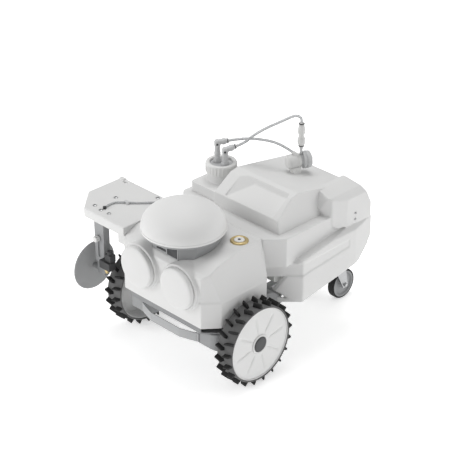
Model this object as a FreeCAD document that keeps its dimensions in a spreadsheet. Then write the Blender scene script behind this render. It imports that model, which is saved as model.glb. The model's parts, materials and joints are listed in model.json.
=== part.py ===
"""Robotic turf line marker: drive wheels, castors, paint tank, pump, hoses, outrigger and spray disc.

Frame: the origin is the point on the ground midway between the two drive wheels.
+X is the machine's left, +Y its rear and +Z up. Lengths are in millimetres, angles in degrees.
"""
import FreeCAD, Part
import math
import os
import re
import Sketcher

Vector = FreeCAD.Vector
AXIS_TURN = {"X": FreeCAD.Rotation(Vector(0, 1, 0), 90), "Y": FreeCAD.Rotation(Vector(1, 0, 0), -90),
             "Z": FreeCAD.Rotation()}

doc = FreeCAD.newDocument("line_marker")
sheet = doc.addObject("Spreadsheet::Sheet", "dims")

# Driving dimensions ---------------------------------------------------------------------------
SIZES = {
    # drive wheels
    "tip_radius": 134, "carcass_radius": 120, "bead_radius": 115, "wheel_outer": 270, "wheel_inner": 210,
    "lug_count": 21, "lug_root": 9, "lug_tip": 5, "rim_wall": 3.5, "web_outer": 266, "web_thickness": 5,
    "hub_radius": 30, "cap_radius": 24, "shaft_radius": 10, "running_gap": 0.05, "part_gap": 0.4,
    # drive pods and floor pan
    "pod_inner": 116, "pod_outer": 194, "pod_front": -106, "pod_rear": 150, "pod_low": 120, "pod_belly": 97,
    "pan_low": 170, "pan_thickness": 6, "pan_front": -125, "pan_rear": 205, "pan_half": 192, "deck_top": 226,
    "deck_front": 98, "motor_radius": 30, "pod_wall": 5, "bumper_half": 62, "bumper_front": -130,
    # front shell
    "shell_half": 201, "shell_front": -137, "shell_rear": 92, "shell_low": 200, "band_top": 286,
    "nose_half": 163, "chamfer_back": -92, "shell_top_half": 172, "shell_wall": 4, "shell_crown": 406,
    "shell_shoulder": 391, "shell_brow": 366, "shell_top_rear": 404, "cover_x": 85, "cover_z": 311,
    "cover_radius": 65.5, "cover_face": -168, "collar_radius": 72, "collar_face": -150,
    # antenna
    "antenna_y": -48, "antenna_foot": 372, "antenna_flange": 428, "antenna_rim": 440, "antenna_radius": 127,
    "antenna_crown": 520, "antenna_front": -121, "window_half": 19, "dome_wall": 3,
    # power button
    "button_x": 132, "button_y": 48, "bezel_radius": 27.5, "button_radius": 16, "bezel_top": 409.5,
    # rear hull and hood
    "hull_half": 246, "hull_upper_half": 219, "hull_front": 104, "hull_rear": 515, "ledge_top": 402,
    "hull_shoulder": 326, "hull_low_front": 181, "hull_low_rear": 217, "hull_wall": 4,
    "hood_left": 188, "hood_right": -89, "hood_front": 157, "hood_sill": 443, "hood_brow_y": 226,
    "hood_brow": 489, "hood_peak_y": 258,
    "hood_peak": 494, "hood_rear": 480, "hood_rear_top": 455, "hood_wall": 4, "module_side": 235,
    "module_inner": 165,
    # filler neck and cap
    "neck_x": -146, "neck_y": 247, "block_top": 435, "block_outer": -201, "block_front": 170,
    "block_rear": 340,
    "neck_radius": 44, "neck_bore": 36, "neck_top": 478, "cap_outer": 49, "cap_top": 494, "cap_low": 462,
    "insert_top": 486, "stem_radius": 5,
    # paint tank
    "tank_half": 180, "tank_front": 145, "tank_rear": 440, "tank_low": 216, "tank_top": 340,
    # hoses, elbows, valve and pump
    "hose_dia": 8, "elbow_radius": 10, "elbow_a_height": 551, "elbow_b_height": 537, "elbow_spread": 17,
    "elbow_reach": 37, "elbow_heading": 63, "pump_x": 38, "pump_y": 400, "pump_z": 508, "pump_radius": 22,
    "pump_flange_radius": 27, "pump_heading": 65, "pipe_ahead": 3, "valve_low": 553,
    "valve_top": 634,
    # outrigger plate, post and spray head
    "plate_top": 398, "plate_skirt": 30, "plate_wall": 5, "plate_outer": -421, "plate_inner": -170,
    "plate_front": -132, "plate_rear": 84, "plate_corner_y": -53, "plate_corner_x": -350,
    "post_left": -281, "post_right": -323, "post_front": -117, "post_depth": 24, "post_wall": 3,
    "post_low": 222,
    "slot_half": 4.2, "slot_low": 240, "slot_high": 315, "slot_x": -304, "knob_z": 306, "carrier_low": 222,
    "carrier_top": 248, "disc_x": -345,
    "disc_y": -115, "disc_z": 192, "pin_radius": 4, "disc_radius": 80.5, "disc_thickness": 4,
    "small_hose_dia": 6,
    # castors
    "castor_x": 104, "castor_y": 532, "castor_radius": 50, "castor_width": 24, "castor_trail": 30,
    "castor_bolt": 4, "castor_pin": 8, "castor_head": 118, "beam_low": 132, "beam_top": 160,
}
for row, (word, value) in enumerate(SIZES.items(), start=1):
    sheet.set(f"A{row}", word)
    sheet.set(f"B{row}", str(value))
    sheet.setAlias(f"B{row}", word)
doc.recompute()


def formula(text):
    """A sheet formula from words such as 'hull_half - hull_wall'."""
    return re.sub(r"[a-z][a-z_]+", lambda found: "dims." + found.group(0) if found.group(0) in SIZES
                  else found.group(0), str(text))


def amount(text):
    """The present value of a formula."""
    return float(sheet.evalExpression(formula(text)))


def bind(thing, field, text):
    thing.setExpression(field, formula(text))


def place(thing, x, y, z, turn=None):
    """Puts an object at three formulas, with a fixed rotation."""
    thing.Placement = FreeCAD.Placement(Vector(amount(x), amount(y), amount(z)), turn or FreeCAD.Rotation())
    for letter, text in zip("xyz", (x, y, z)):
        bind(thing, f"Placement.Base.{letter}", text)
    return thing


# Builders of simple forms ---------------------------------------------------------------------
def box(x0, x1, y0, y1, z0, z1):
    form = doc.addObject("Part::Box", "box")
    for field, low, high in (("Length", x0, x1), ("Width", y0, y1), ("Height", z0, z1)):
        bind(form, field, f"({high}) - ({low})")
    return place(form, x0, y0, z0)


def rod(axis, radius, start, end, across, up):
    """A cylinder along an axis; across and up are the other two coordinates in X, Y, Z order."""
    form = doc.addObject("Part::Cylinder", "rod")
    bind(form, "Radius", radius)
    bind(form, "Height", f"({end}) - ({start})")
    spot = {"X": (start, across, up), "Y": (across, start, up), "Z": (across, up, start)}[axis]
    return place(form, *spot, AXIS_TURN[axis])


def cone(axis, radius_start, radius_end, start, end, across, up):
    form = doc.addObject("Part::Cone", "cone")
    bind(form, "Radius1", radius_start)
    bind(form, "Radius2", radius_end)
    bind(form, "Height", f"({end}) - ({start})")
    spot = {"X": (start, across, up), "Y": (across, start, up), "Z": (across, up, start)}[axis]
    return place(form, *spot, AXIS_TURN[axis])


def aimed_rod(radius, length, x, y, z, heading):
    """A level cylinder that points along a heading, counted from +X towards +Y."""
    form = doc.addObject("Part::Cylinder", "aimed_rod")
    bind(form, "Radius", radius)
    bind(form, "Height", length)
    turn = FreeCAD.Rotation(Vector(0, 0, 1), amount(heading)).multiply(AXIS_TURN["X"])
    return place(form, x, y, z, turn)


def strut(radius, start, end):
    """A cylinder between two points in space."""
    low, high = Vector(*start), Vector(*end)
    form = doc.addObject("Part::Cylinder", "strut")
    form.Radius = radius
    form.Height = (high - low).Length
    form.Placement = FreeCAD.Placement(low, FreeCAD.Rotation(Vector(0, 0, 1), high - low))
    return form


def prism(plane, corners, low, high):
    """A body padded from a closed outline on XY, XZ or YZ, between two offsets along the third axis."""
    body = doc.addObject("PartDesign::Body", "prism")
    sketch = body.newObject("Sketcher::SketchObject", "outline")
    origin_plane = [item for item in body.Origin.OriginFeatures if item.Role == plane + "_Plane"][0]
    sketch.AttachmentSupport = [(origin_plane, "")]
    sketch.MapMode = "FlatFace"
    spots = [(amount(u), amount(v)) for u, v in corners]
    count = len(spots)
    for index, (u, v) in enumerate(spots):
        u_next, v_next = spots[(index + 1) % count]
        sketch.addGeometry(Part.LineSegment(Vector(u, v, 0), Vector(u_next, v_next, 0)), False)
    for index in range(count):
        sketch.addConstraint(Sketcher.Constraint("Coincident", index, 2, (index + 1) % count, 1))
    for index, (u, v) in enumerate(corners):
        for kind, letter, text, value in (("DistanceX", "u", u, spots[index][0]),
                                          ("DistanceY", "v", v, spots[index][1])):
            made = sketch.addConstraint(Sketcher.Constraint(kind, -1, 1, index, 1, value))
            sketch.renameConstraint(made, f"{letter}{index}")
            bind(sketch, f"Constraints.{letter}{index}", text)
    bind(sketch, "AttachmentOffset.Base.z", f"-({high})" if plane == "XZ" else low)
    pad = body.newObject("PartDesign::Pad", "pad")
    pad.Profile = sketch
    bind(pad, "Length", f"({high}) - ({low})")
    return body


def both_sides(points):
    """A plan outline from the points of its left half, front to rear."""
    return points + [(f"-({x})", y) for x, y in reversed(points)]


def turned(corners, axis, across, up):
    """A solid of revolution from (radius, position) corners about an axis through two coordinates."""
    spots = [Vector(amount(radius), 0, amount(along)) for radius, along in corners]
    face = Part.Face(Part.makePolygon(spots + spots[:1]))
    form = doc.addObject("Part::Feature", "turned")
    form.Shape = face.revolve(Vector(), Vector(0, 0, 1), 360)
    spot = {"X": ("0", across, up), "Y": (across, "0", up), "Z": (across, up, "0")}[axis]
    return place(form, *spot, AXIS_TURN[axis])


def joined(*forms):
    whole = doc.addObject("Part::MultiFuse", "joined")
    whole.Shapes = list(forms)
    whole.Refine = True
    return whole


def cut(base, *tools):
    whole = doc.addObject("Part::Cut", "cut")
    whole.Base = base
    whole.Tool = tools[0] if len(tools) == 1 else joined(*tools)
    whole.Refine = True
    return whole


def overlap(*forms):
    whole = doc.addObject("Part::MultiCommon", "overlap")
    whole.Shapes = list(forms)
    whole.Refine = True
    return whole


def group(*forms):
    """Separate solids kept in one node."""
    whole = doc.addObject("Part::Compound", "group")
    whole.Links = list(forms)
    return whole


def rounded(form, radius, wanted):
    """Fillets every edge of a form whose middle passes the test."""
    doc.recompute()
    edges = [number for number, edge in enumerate(form.Shape.Edges, start=1)
             if wanted(edge, edge.valueAt((edge.FirstParameter + edge.LastParameter) / 2))]
    smooth = doc.addObject("Part::Fillet", "rounded")
    smooth.Base = form
    smooth.Edges = [(number, radius, radius) for number in edges]
    return smooth


def mirrored(form):
    other = doc.addObject("Part::Mirroring", "mirrored")
    other.Source = form
    other.Normal = (1, 0, 0)
    return other


NODES = {}


def node(name, form):
    form.Label = name
    NODES[name] = form
    return form


def pair(name, form):
    """A left-hand piece and its mirror image."""
    node(name + "_left", form)
    node(name + "_right", mirrored(form))
    return form


# Drive wheels ---------------------------------------------------------------------------------
def tyre():
    """A thin carcass with two staggered rows of paddle lugs; a lug of the inner row points straight down."""
    ring = cut(rod("X", "carcass_radius", "wheel_inner", "wheel_outer", "0", "tip_radius"),
               rod("X", "bead_radius", "wheel_inner - 1", "wheel_outer + 1", "0", "tip_radius"))
    count = int(amount("lug_count"))
    root, tip = amount("lug_root") / 2, amount("lug_tip") / 2
    low, high = amount("carcass_radius") - 1, amount("tip_radius")
    middle = (amount("wheel_inner") + amount("wheel_outer")) / 2
    rows = ((amount("wheel_inner") + 1, middle - 1, 0.0), (middle + 1, amount("wheel_outer") - 1, 0.5))
    lugs = []
    for start, end, stagger in rows:
        outline = [Vector(start, -root, -low), Vector(start, root, -low), Vector(start, tip, -high),
                   Vector(start, -tip, -high)]
        lug = Part.Face(Part.makePolygon(outline + outline[:1])).extrude(Vector(end - start, 0, 0))
        for number in range(count):
            turn = FreeCAD.Rotation(Vector(1, 0, 0), (number + stagger) * 360 / count)
            lugs.append(lug.transformed(FreeCAD.Placement(Vector(), turn).toMatrix()))
    row_set = doc.addObject("Part::Feature", "lugs")
    row_set.Shape = Part.makeCompound(lugs)
    place(row_set, "0", "0", "tip_radius")
    return joined(ring, row_set)


def wheel_disc():
    """Barrel rim, web and hub, with the bore that the drive shaft is pressed into."""
    rim = "bead_radius"
    corners = [("shaft_radius", "wheel_inner + 8"), ("hub_radius - 8", "wheel_inner + 8"),
               ("hub_radius", "web_outer - web_thickness"),
               (rim + " - rim_wall", "web_outer - web_thickness"),
               (rim + " - rim_wall", "wheel_inner + 4"), (rim, "wheel_inner + 4"), (rim, "web_outer + 2"),
               (rim + " - 4", "web_outer + 2"), (rim + " - 6", "web_outer"), ("hub_radius + 2", "web_outer"),
               ("hub_radius", "web_outer + 2.5"), ("cap_radius + 0.5", "web_outer + 2.5"),
               ("cap_radius + 0.5", "web_outer - 4"), ("shaft_radius", "web_outer - 4")]
    return turned(corners, "X", "0", "tip_radius")


def hub_cap():
    return turned([("0", "web_outer - 3.5"), ("cap_radius", "web_outer - 3.5"),
                   ("cap_radius", "web_outer + 3"),
                   ("cap_radius - 3", "web_outer + 5.5"), ("0", "web_outer + 5.5")], "X", "0", "tip_radius")


def drive_shaft():
    return rod("X", "shaft_radius", "pod_inner + 22", "web_outer - 4", "0", "tip_radius")


def drive_pod():
    """The gearbox housing under the side of the pan, hollow for the motor and bored for the shaft."""
    outline = [("pod_front", "pan_low"), ("pod_front", "pod_low"), ("pod_front + 46", "pod_belly"),
               ("52", "pod_belly"), ("pod_rear", "pan_low")]
    outer = prism("YZ", outline, "pod_inner", "pod_outer")
    outer = rounded(outer, 32, lambda edge, mid: abs(mid.x - amount("pod_outer")) < 1
                    and abs(mid.y - amount("pod_front")) < 1)
    room = box("pod_inner + pod_wall", "pod_outer - pod_wall", "-38", "38", "pod_belly + 4", "pan_low + 1")
    bore = rod("X", "shaft_radius + running_gap", "pod_outer - pod_wall - 1", "pod_outer + 1", "0",
               "tip_radius")
    return cut(outer, room, bore)


def gear_motor():
    """Motor can and output bearing, hung in the pod."""
    can = rod("X", "motor_radius", "pod_inner + pod_wall", "pod_outer - pod_wall - 10", "0", "tip_radius")
    foot = box("pod_inner + pod_wall + 8", "pod_outer - pod_wall - 14", "-20", "20", "tip_radius + 20",
               "pan_low")
    bore = rod("X", "shaft_radius + running_gap", "pod_inner + 21", "pod_outer", "0", "tip_radius")
    return cut(joined(can, foot), bore)


pair("tyre", tyre())
pair("wheel_disc", wheel_disc())
pair("hub_cap", hub_cap())
pair("drive_shaft", drive_shaft())
pair("drive_pod", drive_pod())
pair("gear_motor", gear_motor())


# Floor pan, bumper and castor beam ------------------------------------------------------------
def chassis_pan():
    """Flat floor under the front shell with a raised deck behind it that slopes down at the rear."""
    plan = both_sides([("148", "pan_front"), ("pan_half", "-84"), ("pan_half", "150"), ("160", "pan_rear")])
    floor = prism("XY", plan, "pan_low", "pan_low + pan_thickness")
    front_lip = box("-148", "148", "pan_front", "pan_front + 4", "pan_low", "shell_low + 6")
    ears = [box(f"{side} * 80 - 20", f"{side} * 80 + 20", "shell_front + shell_wall", "pan_front + 1",
                "shell_low",
                "shell_low + 6") for side in (-1, 1)]
    hull_ears = [box(f"{side} * 80 - 25", f"{side} * 80 + 25", "hull_front + hull_wall", "hull_front + 9",
                     "deck_top - 4", "deck_top + 60") for side in (-1, 1)]
    deck = prism("YZ", [("deck_front", "pan_low"), ("176", "pan_low"), ("169", "184"), ("155", "202"),
                        ("137", "218"), ("118", "deck_top"), ("deck_front", "deck_top")], "-pan_half",
                        "pan_half")
    room = prism("YZ", [("deck_front + 4", "pan_low + 6"), ("168", "pan_low + 6"), ("152", "199"),
                        ("135", "214"),
                        ("117", "deck_top - 4"), ("deck_front + 4", "deck_top - 4")],
                 "-pan_half + 4", "pan_half - 4")
    return joined(floor, front_lip, cut(deck, room), *ears, *hull_ears)


def front_bumper():
    """Bent steel strip between the two pods."""
    outer = [("-pod_inner", "pod_front"), ("-pod_inner", "pod_front - 6"), ("-bumper_half", "bumper_front"),
             ("bumper_half", "bumper_front"), ("pod_inner", "pod_front - 6"), ("pod_inner", "pod_front")]
    inner = [("pod_inner - 4", "pod_front"), ("pod_inner - 4", "pod_front - 4"),
             ("bumper_half - 1", "bumper_front + 3.5"), ("-bumper_half + 1", "bumper_front + 3.5"),
             ("-pod_inner + 4", "pod_front - 4"), ("-pod_inner + 4", "pod_front")]
    strip = prism("XY", outer + inner, "pod_low + 4", "pod_low + 34")
    ears = [box(f"{side} * pod_inner - 6", f"{side} * pod_inner + 6", "pod_front - 4", "pod_front",
                "pod_low + 4", "pod_low + 34") for side in (-1, 1)]
    return joined(strip, *ears)


def castor_beam():
    """Two rails from the floor pan and a crossbar with the bores for the castor pins."""
    rails = [box(f"{side} * 80 - 12", f"{side} * 80 + 12", "pan_rear - 60", "castor_y - castor_trail",
                 "beam_top - 20", "beam_top") for side in (-1, 1)]
    feet = [box(f"{side} * 80 - 12", f"{side} * 80 + 12", "pan_rear - 60", "pan_rear - 10", "beam_top",
                "pan_low")
            for side in (-1, 1)]
    bar = box("-castor_x - 26", "castor_x + 26", "castor_y - castor_trail - 24",
              "castor_y - castor_trail + 24",
              "beam_low", "beam_top")
    bores = [rod("Z", "castor_pin + running_gap", "beam_low - 1", "beam_top + 1", f"{side} * castor_x",
                 "castor_y - castor_trail") for side in (-1, 1)]
    return cut(joined(bar, *rails, *feet), *bores)


node("chassis_pan", chassis_pan())
node("front_bumper", front_bumper())
node("castor_beam", castor_beam())


# Castors --------------------------------------------------------------------------------------
SWIVEL_Y = "castor_y - castor_trail"


def castor_fork():
    """Swivel pin, bearing seat, bridge and two legs."""
    pin = rod("Z", "castor_pin", "castor_head - 2", "beam_top + 3", "castor_x", SWIVEL_Y)
    seat = rod("Z", "20", "castor_head - 2", "beam_low - part_gap", "castor_x", SWIVEL_Y)
    bridge = box("castor_x - 19", "castor_x + 19", SWIVEL_Y + " - 22", SWIVEL_Y + " + 30", "castor_head - 6",
                 "castor_head")
    leg_outline = [(SWIVEL_Y + " - 16", "castor_head - 1"), (SWIVEL_Y + " + 30", "castor_head - 1"),
                   ("castor_y + 12", "castor_radius"), ("castor_y + 6", "castor_radius - 11"),
                   ("castor_y - 8", "castor_radius - 10")]
    legs = [prism("YZ", leg_outline, f"castor_x + {side} * 17 - 2", f"castor_x + {side} * 17 + 2")
            for side in (-1, 1)]
    bore = rod("X", "castor_bolt", "castor_x - 30", "castor_x + 30", "castor_y", "castor_radius")
    return cut(joined(pin, seat, bridge, *legs), bore)


def castor_axle():
    """Shoulder bolt and nut through the fork legs."""
    shank = rod("X", "castor_bolt", "castor_x - 24", "castor_x + 24", "castor_y", "castor_radius")
    heads = [rod("X", "castor_bolt + 3", f"castor_x + {low}", f"castor_x + {high}", "castor_y",
                 "castor_radius")
             for low, high in ((-24, -19), (19, 24))]
    return joined(shank, *heads)


def castor_wheel():
    corners = [("castor_bolt + running_gap", "castor_x - 14"), ("12", "castor_x - 14"),
               ("14", "castor_x - 5"), ("castor_radius - 10", "castor_x - 5"),
               ("castor_radius - 10", "castor_x - castor_width / 2"),
               ("castor_radius - 6", "castor_x - castor_width / 2"),
               ("castor_radius - 6", "castor_x + castor_width / 2"),
               ("castor_radius - 10", "castor_x + castor_width / 2"),
               ("castor_radius - 10", "castor_x + 5"), ("14", "castor_x + 5"), ("12", "castor_x + 14"),
               ("castor_bolt + running_gap", "castor_x + 14")]
    return turned(corners, "X", "castor_y", "castor_radius")


def castor_tyre():
    half = "castor_width / 2"
    corners = [("castor_radius - 6", f"castor_x - {half}"), ("castor_radius - 2", f"castor_x - {half}"),
               ("castor_radius", f"castor_x - {half} + 3"), ("castor_radius", f"castor_x + {half} - 3"),
               ("castor_radius - 2", f"castor_x + {half}"), ("castor_radius - 6", f"castor_x + {half}")]
    return turned(corners, "X", "castor_y", "castor_radius")


pair("castor_fork", castor_fork())
pair("castor_axle", castor_axle())
pair("castor_wheel", castor_wheel())
pair("castor_tyre", castor_tyre())


# Front shell and what it carries --------------------------------------------------------------
def shell_solid(inset, low, rear):
    """The shell's outer form, drawn in by an inset, as the overlap of its plan, side and front outlines."""
    plan = [(f"nose_half - {inset}", f"shell_front + {inset}"),
            (f"shell_half - {inset}", f"chamfer_back + {inset}"),
            (f"shell_half - {inset}", rear), (f"-shell_half + {inset}", rear),
            (f"-shell_half + {inset}", f"chamfer_back + {inset}"),
            (f"-nose_half + {inset}", f"shell_front + {inset}")]
    side = [(f"shell_front + {inset}", low), (rear, low), (rear, f"shell_top_rear - {inset}"),
            ("0", f"shell_crown - {inset}"), ("-80", f"shell_shoulder - {inset}"),
            (f"shell_front + {inset} + 12", f"shell_brow - {inset} + 6"),
            (f"shell_front + {inset}", f"shell_brow - {inset} - 8")]
    top = "shell_crown + 10"
    front = [(f"-shell_half + {inset}", low), (f"shell_half - {inset}", low),
             (f"shell_half - {inset}", "band_top"),
             (f"shell_top_half - {inset}", top), (f"-shell_top_half + {inset}", top),
             (f"-shell_half + {inset}", "band_top")]
    return overlap(prism("XY", plan, low, top), prism("YZ", side, "-shell_half", "shell_half"),
                   prism("XZ", front, "shell_front", rear))


def on_covers(radius, start, end):
    return [rod("Y", radius, start, end, f"{side} * cover_x", "cover_z") for side in (-1, 1)]


SHELL_FORM = joined(shell_solid("0", "shell_low", "shell_rear"),
                    *on_covers("collar_radius", "collar_face", "-86"))


def front_shell():
    """Moulded cover, open below and at the back, with two round collars in its nose."""
    hollow = shell_solid("shell_wall", "shell_low - 1", "shell_rear + 1")
    bores = on_covers("cover_radius - 8", "collar_face - 1", "-90")
    button_hole = rod("Z", "bezel_radius - 5", "shell_crown - 40", "shell_crown + 20", "button_x", "button_y")
    cable_hole = rod("Z", "14", "shell_crown - 60", "shell_crown + 20", "0", "antenna_y")
    return cut(SHELL_FORM, hollow, *bores, button_hole, cable_hole)


def front_cover():
    """Round cover with a rim and a spigot that fits the collar."""
    disc = rod("Y", "cover_radius", "cover_face", "collar_face", "cover_x", "cover_z")
    disc = rounded(disc, 5, lambda edge, mid: abs(edge.BoundBox.YMax - amount("cover_face")) < 0.5)
    spigot = rod("Y", "cover_radius - 8.5", "collar_face - 1", "collar_face + 10", "cover_x", "cover_z")
    hollow = rod("Y", "cover_radius - 12", "cover_face + 4", "collar_face + 11", "cover_x", "cover_z")
    return cut(joined(disc, spigot), hollow)


def antenna_base():
    """Tapered plinth with a flat front, cut to sit on the curved top of the shell."""
    plinth = cone("Z", "92", "119", "antenna_foot - 30", "antenna_flange", "0", "antenna_y")
    outline = [("-57", "antenna_front"), ("57", "antenna_front"), ("102", "-92"), ("130", "antenna_y"),
               ("130", "90"), ("-130", "90"), ("-130", "antenna_y"), ("-102", "-92")]
    plinth = overlap(plinth, prism("XY", outline, "antenna_foot - 30", "antenna_flange"))
    flange = rod("Z", "antenna_radius - 5", "antenna_flange", "antenna_rim - 4", "0", "antenna_y")
    hollow = rod("Z", "84", "antenna_foot + 8", "antenna_rim", "0", "antenna_y")
    window = box("30 - window_half", "30 + window_half", "antenna_front - 1", "antenna_front + 5", "378",
                 "414")
    return cut(joined(plinth, flange), SHELL_FORM, hollow, window)


def dome_curve(inset):
    """Half profile of the radome: a shoulder arc tangent to a flatter crown arc, from rim to crown."""
    width = amount("antenna_radius") - inset
    height = amount("antenna_crown - antenna_rim") - inset
    shoulder = 60 - inset
    crown = ((width - shoulder) ** 2 + height ** 2 - shoulder ** 2) / (2 * (height - shoulder))
    slope = math.atan2(crown - height, width - shoulder)
    on_shoulder = Vector(width - shoulder, 0, 4)
    on_axis = Vector(0, 0, 4 + height - crown)

    def point(centre, radius, angle):
        return centre + Vector(math.cos(angle), 0, math.sin(angle)) * radius
    meet = point(on_shoulder, shoulder, slope)
    top = Vector(0, 0, 4 + height)
    return [Part.Arc(Vector(width, 0, 4), point(on_shoulder, shoulder, slope / 2), meet).toShape(),
            Part.Arc(meet, point(on_axis, crown, (slope + math.pi / 2) / 2), top).toShape()]


def antenna_dome():
    """Radome shell with a short rim."""
    wall = amount("dome_wall")
    radius, height = amount("antenna_radius"), amount("antenna_crown - antenna_rim")
    outline = [Vector(0, 0, 4 + height), Vector(0, 0, 4 + height - wall)]
    rim = [Vector(radius - wall, 0, 4), Vector(radius - wall, 0, 0), Vector(radius, 0, 0),
           Vector(radius, 0, 4)]
    edges = dome_curve(0) + dome_curve(wall) + [Part.makeLine(*outline)]
    edges += [Part.makeLine(start, end) for start, end in zip(rim, rim[1:])]
    face = Part.Face(Part.Wire(Part.__sortEdges__(edges)))
    form = doc.addObject("Part::Feature", "dome")
    form.Shape = face.revolve(Vector(), Vector(0, 0, 1), 360)
    return place(form, "0", "antenna_y", "antenna_rim - 4")


def antenna_window():
    return box("30 - window_half", "30 + window_half", "antenna_front", "antenna_front + 5", "378", "414")


def button_bezel():
    """Ring around the power button, cut to sit on the shell."""
    ring = rod("Z", "bezel_radius", "shell_crown - 22", "bezel_top", "button_x", "button_y")
    well = rod("Z", "button_radius + part_gap", "shell_crown - 30", "shell_crown + 9", "button_x", "button_y")
    sleeve = rod("Z", "bezel_radius - 5", "shell_crown - 22", "bezel_top", "button_x", "button_y")
    skin = cut(SHELL_FORM, rod("Z", "bezel_radius - 5", "shell_crown - 60", "shell_crown + 9", "button_x",
                               "button_y"))
    return cut(joined(ring, sleeve), well, skin)


def power_button():
    """Round push button that stands slightly proud of its ring."""
    return rod("Z", "button_radius", "shell_crown - 16", "bezel_top + 1.5", "button_x", "button_y")


def battery_pack():
    return rounded(box("-110", "110", "-90", "60", "pan_low + pan_thickness",
                       "pan_low + pan_thickness + 90"), 6,
                   lambda edge, mid: True)


node("front_shell", front_shell())
pair("front_cover", front_cover())
node("antenna_base", antenna_base())
node("antenna_dome", antenna_dome())
node("antenna_window", antenna_window())
node("button_bezel", button_bezel())
node("power_button", power_button())
node("battery_pack", battery_pack())


# Rear hull ------------------------------------------------------------------------------------
def hull_solid(inset, low_extra):
    """Both tiers and the raised module at the rear left, drawn in by an inset."""
    upper_plan = both_sides([(f"171 - {inset}", f"hull_front + {inset}"),
                             (f"hull_upper_half - {inset}", f"156 + {inset} / 2"),
                             (f"hull_upper_half - {inset}", f"hull_rear - {inset}")])
    upper_side = [("hull_front", f"hull_shoulder - 16 + {inset}"), ("300", f"hull_shoulder - 4 + {inset}"),
                  (f"508 - {inset}", f"335 + {inset}"), (f"508 - {inset}", f"ledge_top - {inset}"),
                  ("hull_front", f"ledge_top - {inset}")]
    upper = overlap(prism("XY", upper_plan, "200", "ledge_top"), prism("YZ", upper_side, "-260", "260"))
    lower_plan = both_sides([(f"149 - {inset}", f"hull_front + {inset}"),
                             (f"hull_half - {inset}", f"201 + {inset} / 2"), (f"hull_half - {inset}", "432"),
                             (f"232 - {inset}", f"hull_rear - {inset}")])
    shoulder = f"hull_shoulder - {inset}"
    lower_side = [("hull_front", f"232 - {low_extra}"), ("118", f"231 - {low_extra}"),
                  ("140", f"223 - {low_extra}"), ("158", f"206 - {low_extra}"), ("175", f"189 - {low_extra}"),
                  ("201", f"hull_low_front - {low_extra}"),
                  ("431", f"hull_low_rear - {low_extra}"), ("454", f"223 - {low_extra}"),
                  ("494", f"256 - {low_extra}"), (f"hull_rear - {inset}", f"285 - {low_extra}"),
                  (f"hull_rear - {inset}", f"345 - {inset}"), ("300", f"{shoulder} + 12"),
                  ("201", f"{shoulder} - 4"), ("hull_front", f"{shoulder} - 14")]
    lower = overlap(prism("XY", lower_plan, "120", "ledge_top"), prism("YZ", lower_side, "-260", "260"))
    module_side = [("336", f"445 - {inset}"), (f"326 + {inset}", "424"),
                   (f"351 + {inset}", f"367 + {inset} / 2"),
                   ("369", "356"), (f"508 - {inset}", "354"), (f"508 - {inset}", "400"),
                   (f"hull_rear - 35 - {inset}", f"455 - {inset}"), ("470", f"474 - {inset}"),
                   ("344", f"474 - {inset}")]
    module_front = [("150", "330"), (f"module_side - {inset}", "330"),
                    (f"module_side - {inset}", f"445 - {inset}"),
                    (f"218 - {inset}", f"462 - {inset}"), (f"module_inner + {inset}", f"474 - {inset}"),
                    (f"module_inner + {inset}", "404"), ("150", "390")]
    module_plan = [("150", f"318 + {inset}"), ("178", f"318 + {inset}"),
                   (f"222 - {inset}", f"345 + {inset} / 2"),
                   (f"module_side - {inset}", "400"), (f"module_side - {inset}", "510"), ("150", "510")]
    module = overlap(prism("YZ", module_side, "150", "hull_half"), prism("XZ", module_front, "300", "510"),
                     prism("XY", module_plan, "330", "480"))
    low_corner = prism("YZ", [("300", f"ledge_top - {inset}"), ("520", f"344 - {inset}"), ("520", "420"),
                              ("300", "420")], "-hull_half - 1", f"-150 + {inset}")
    core = overlap(prism("XY", upper_plan, "290", "345"), prism("XY", lower_plan, "290", "345"))
    return joined(cut(joined(upper, lower, core), low_corner), module)


HULL_FORM = hull_solid("0", "0")
BODY_SCREWS = [("437", "388"), ("437", "368")]


def rear_hull():
    """Moulded cover, open below, with openings in its ledge for the hood and the filler neck."""
    hood_opening = box("hood_right + 12", "150", "hood_front + 14", "460", "ledge_top - 20", "ledge_top + 20")
    neck_hole = rod("Z", "neck_bore + 5", "ledge_top - 20", "ledge_top + 20", "neck_x", "neck_y")
    screw_holes = [rod("X", "2.5", "220", "hull_half + 1", across, up) for across, up in BODY_SCREWS]
    return cut(HULL_FORM, hull_solid("hull_wall", "60"), hood_opening, neck_hole, *screw_holes)


def body_screws():
    """Pan-head screws in the left side of the module."""
    screws = []
    for across, up in BODY_SCREWS:
        screws.append(joined(rod("X", "4.5", "module_side", "module_side + 2.5", across, up),
                             rod("X", "2.5", "module_side - 9", "module_side + 1", across, up)))
    return group(*screws)


# Hood over the tank -----------------------------------------------------------------------------
def hood_solid(inset):
    side = [(f"hood_front + {inset}", "ledge_top"), (f"hood_front + 3 + {inset}", f"hood_sill - {inset}"),
            (f"hood_brow_y + {inset} / 2", f"hood_brow - {inset}"), ("hood_peak_y", f"hood_peak - {inset}"),
            (f"hood_rear - {inset}", f"hood_rear_top - {inset}"),
            (f"506 - {inset}", "ledge_top")]
    front = [(f"hood_right + {inset}", "ledge_top"), (f"hood_left - {inset}", "ledge_top"),
             (f"165 - {inset}", "hood_peak"), (f"hood_right + {inset}", "hood_peak")]
    return overlap(prism("YZ", side, "hood_right", "hood_left"), prism("XZ", front, "hood_front", "508"))


HOOD_FORM = hood_solid("0")


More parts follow.
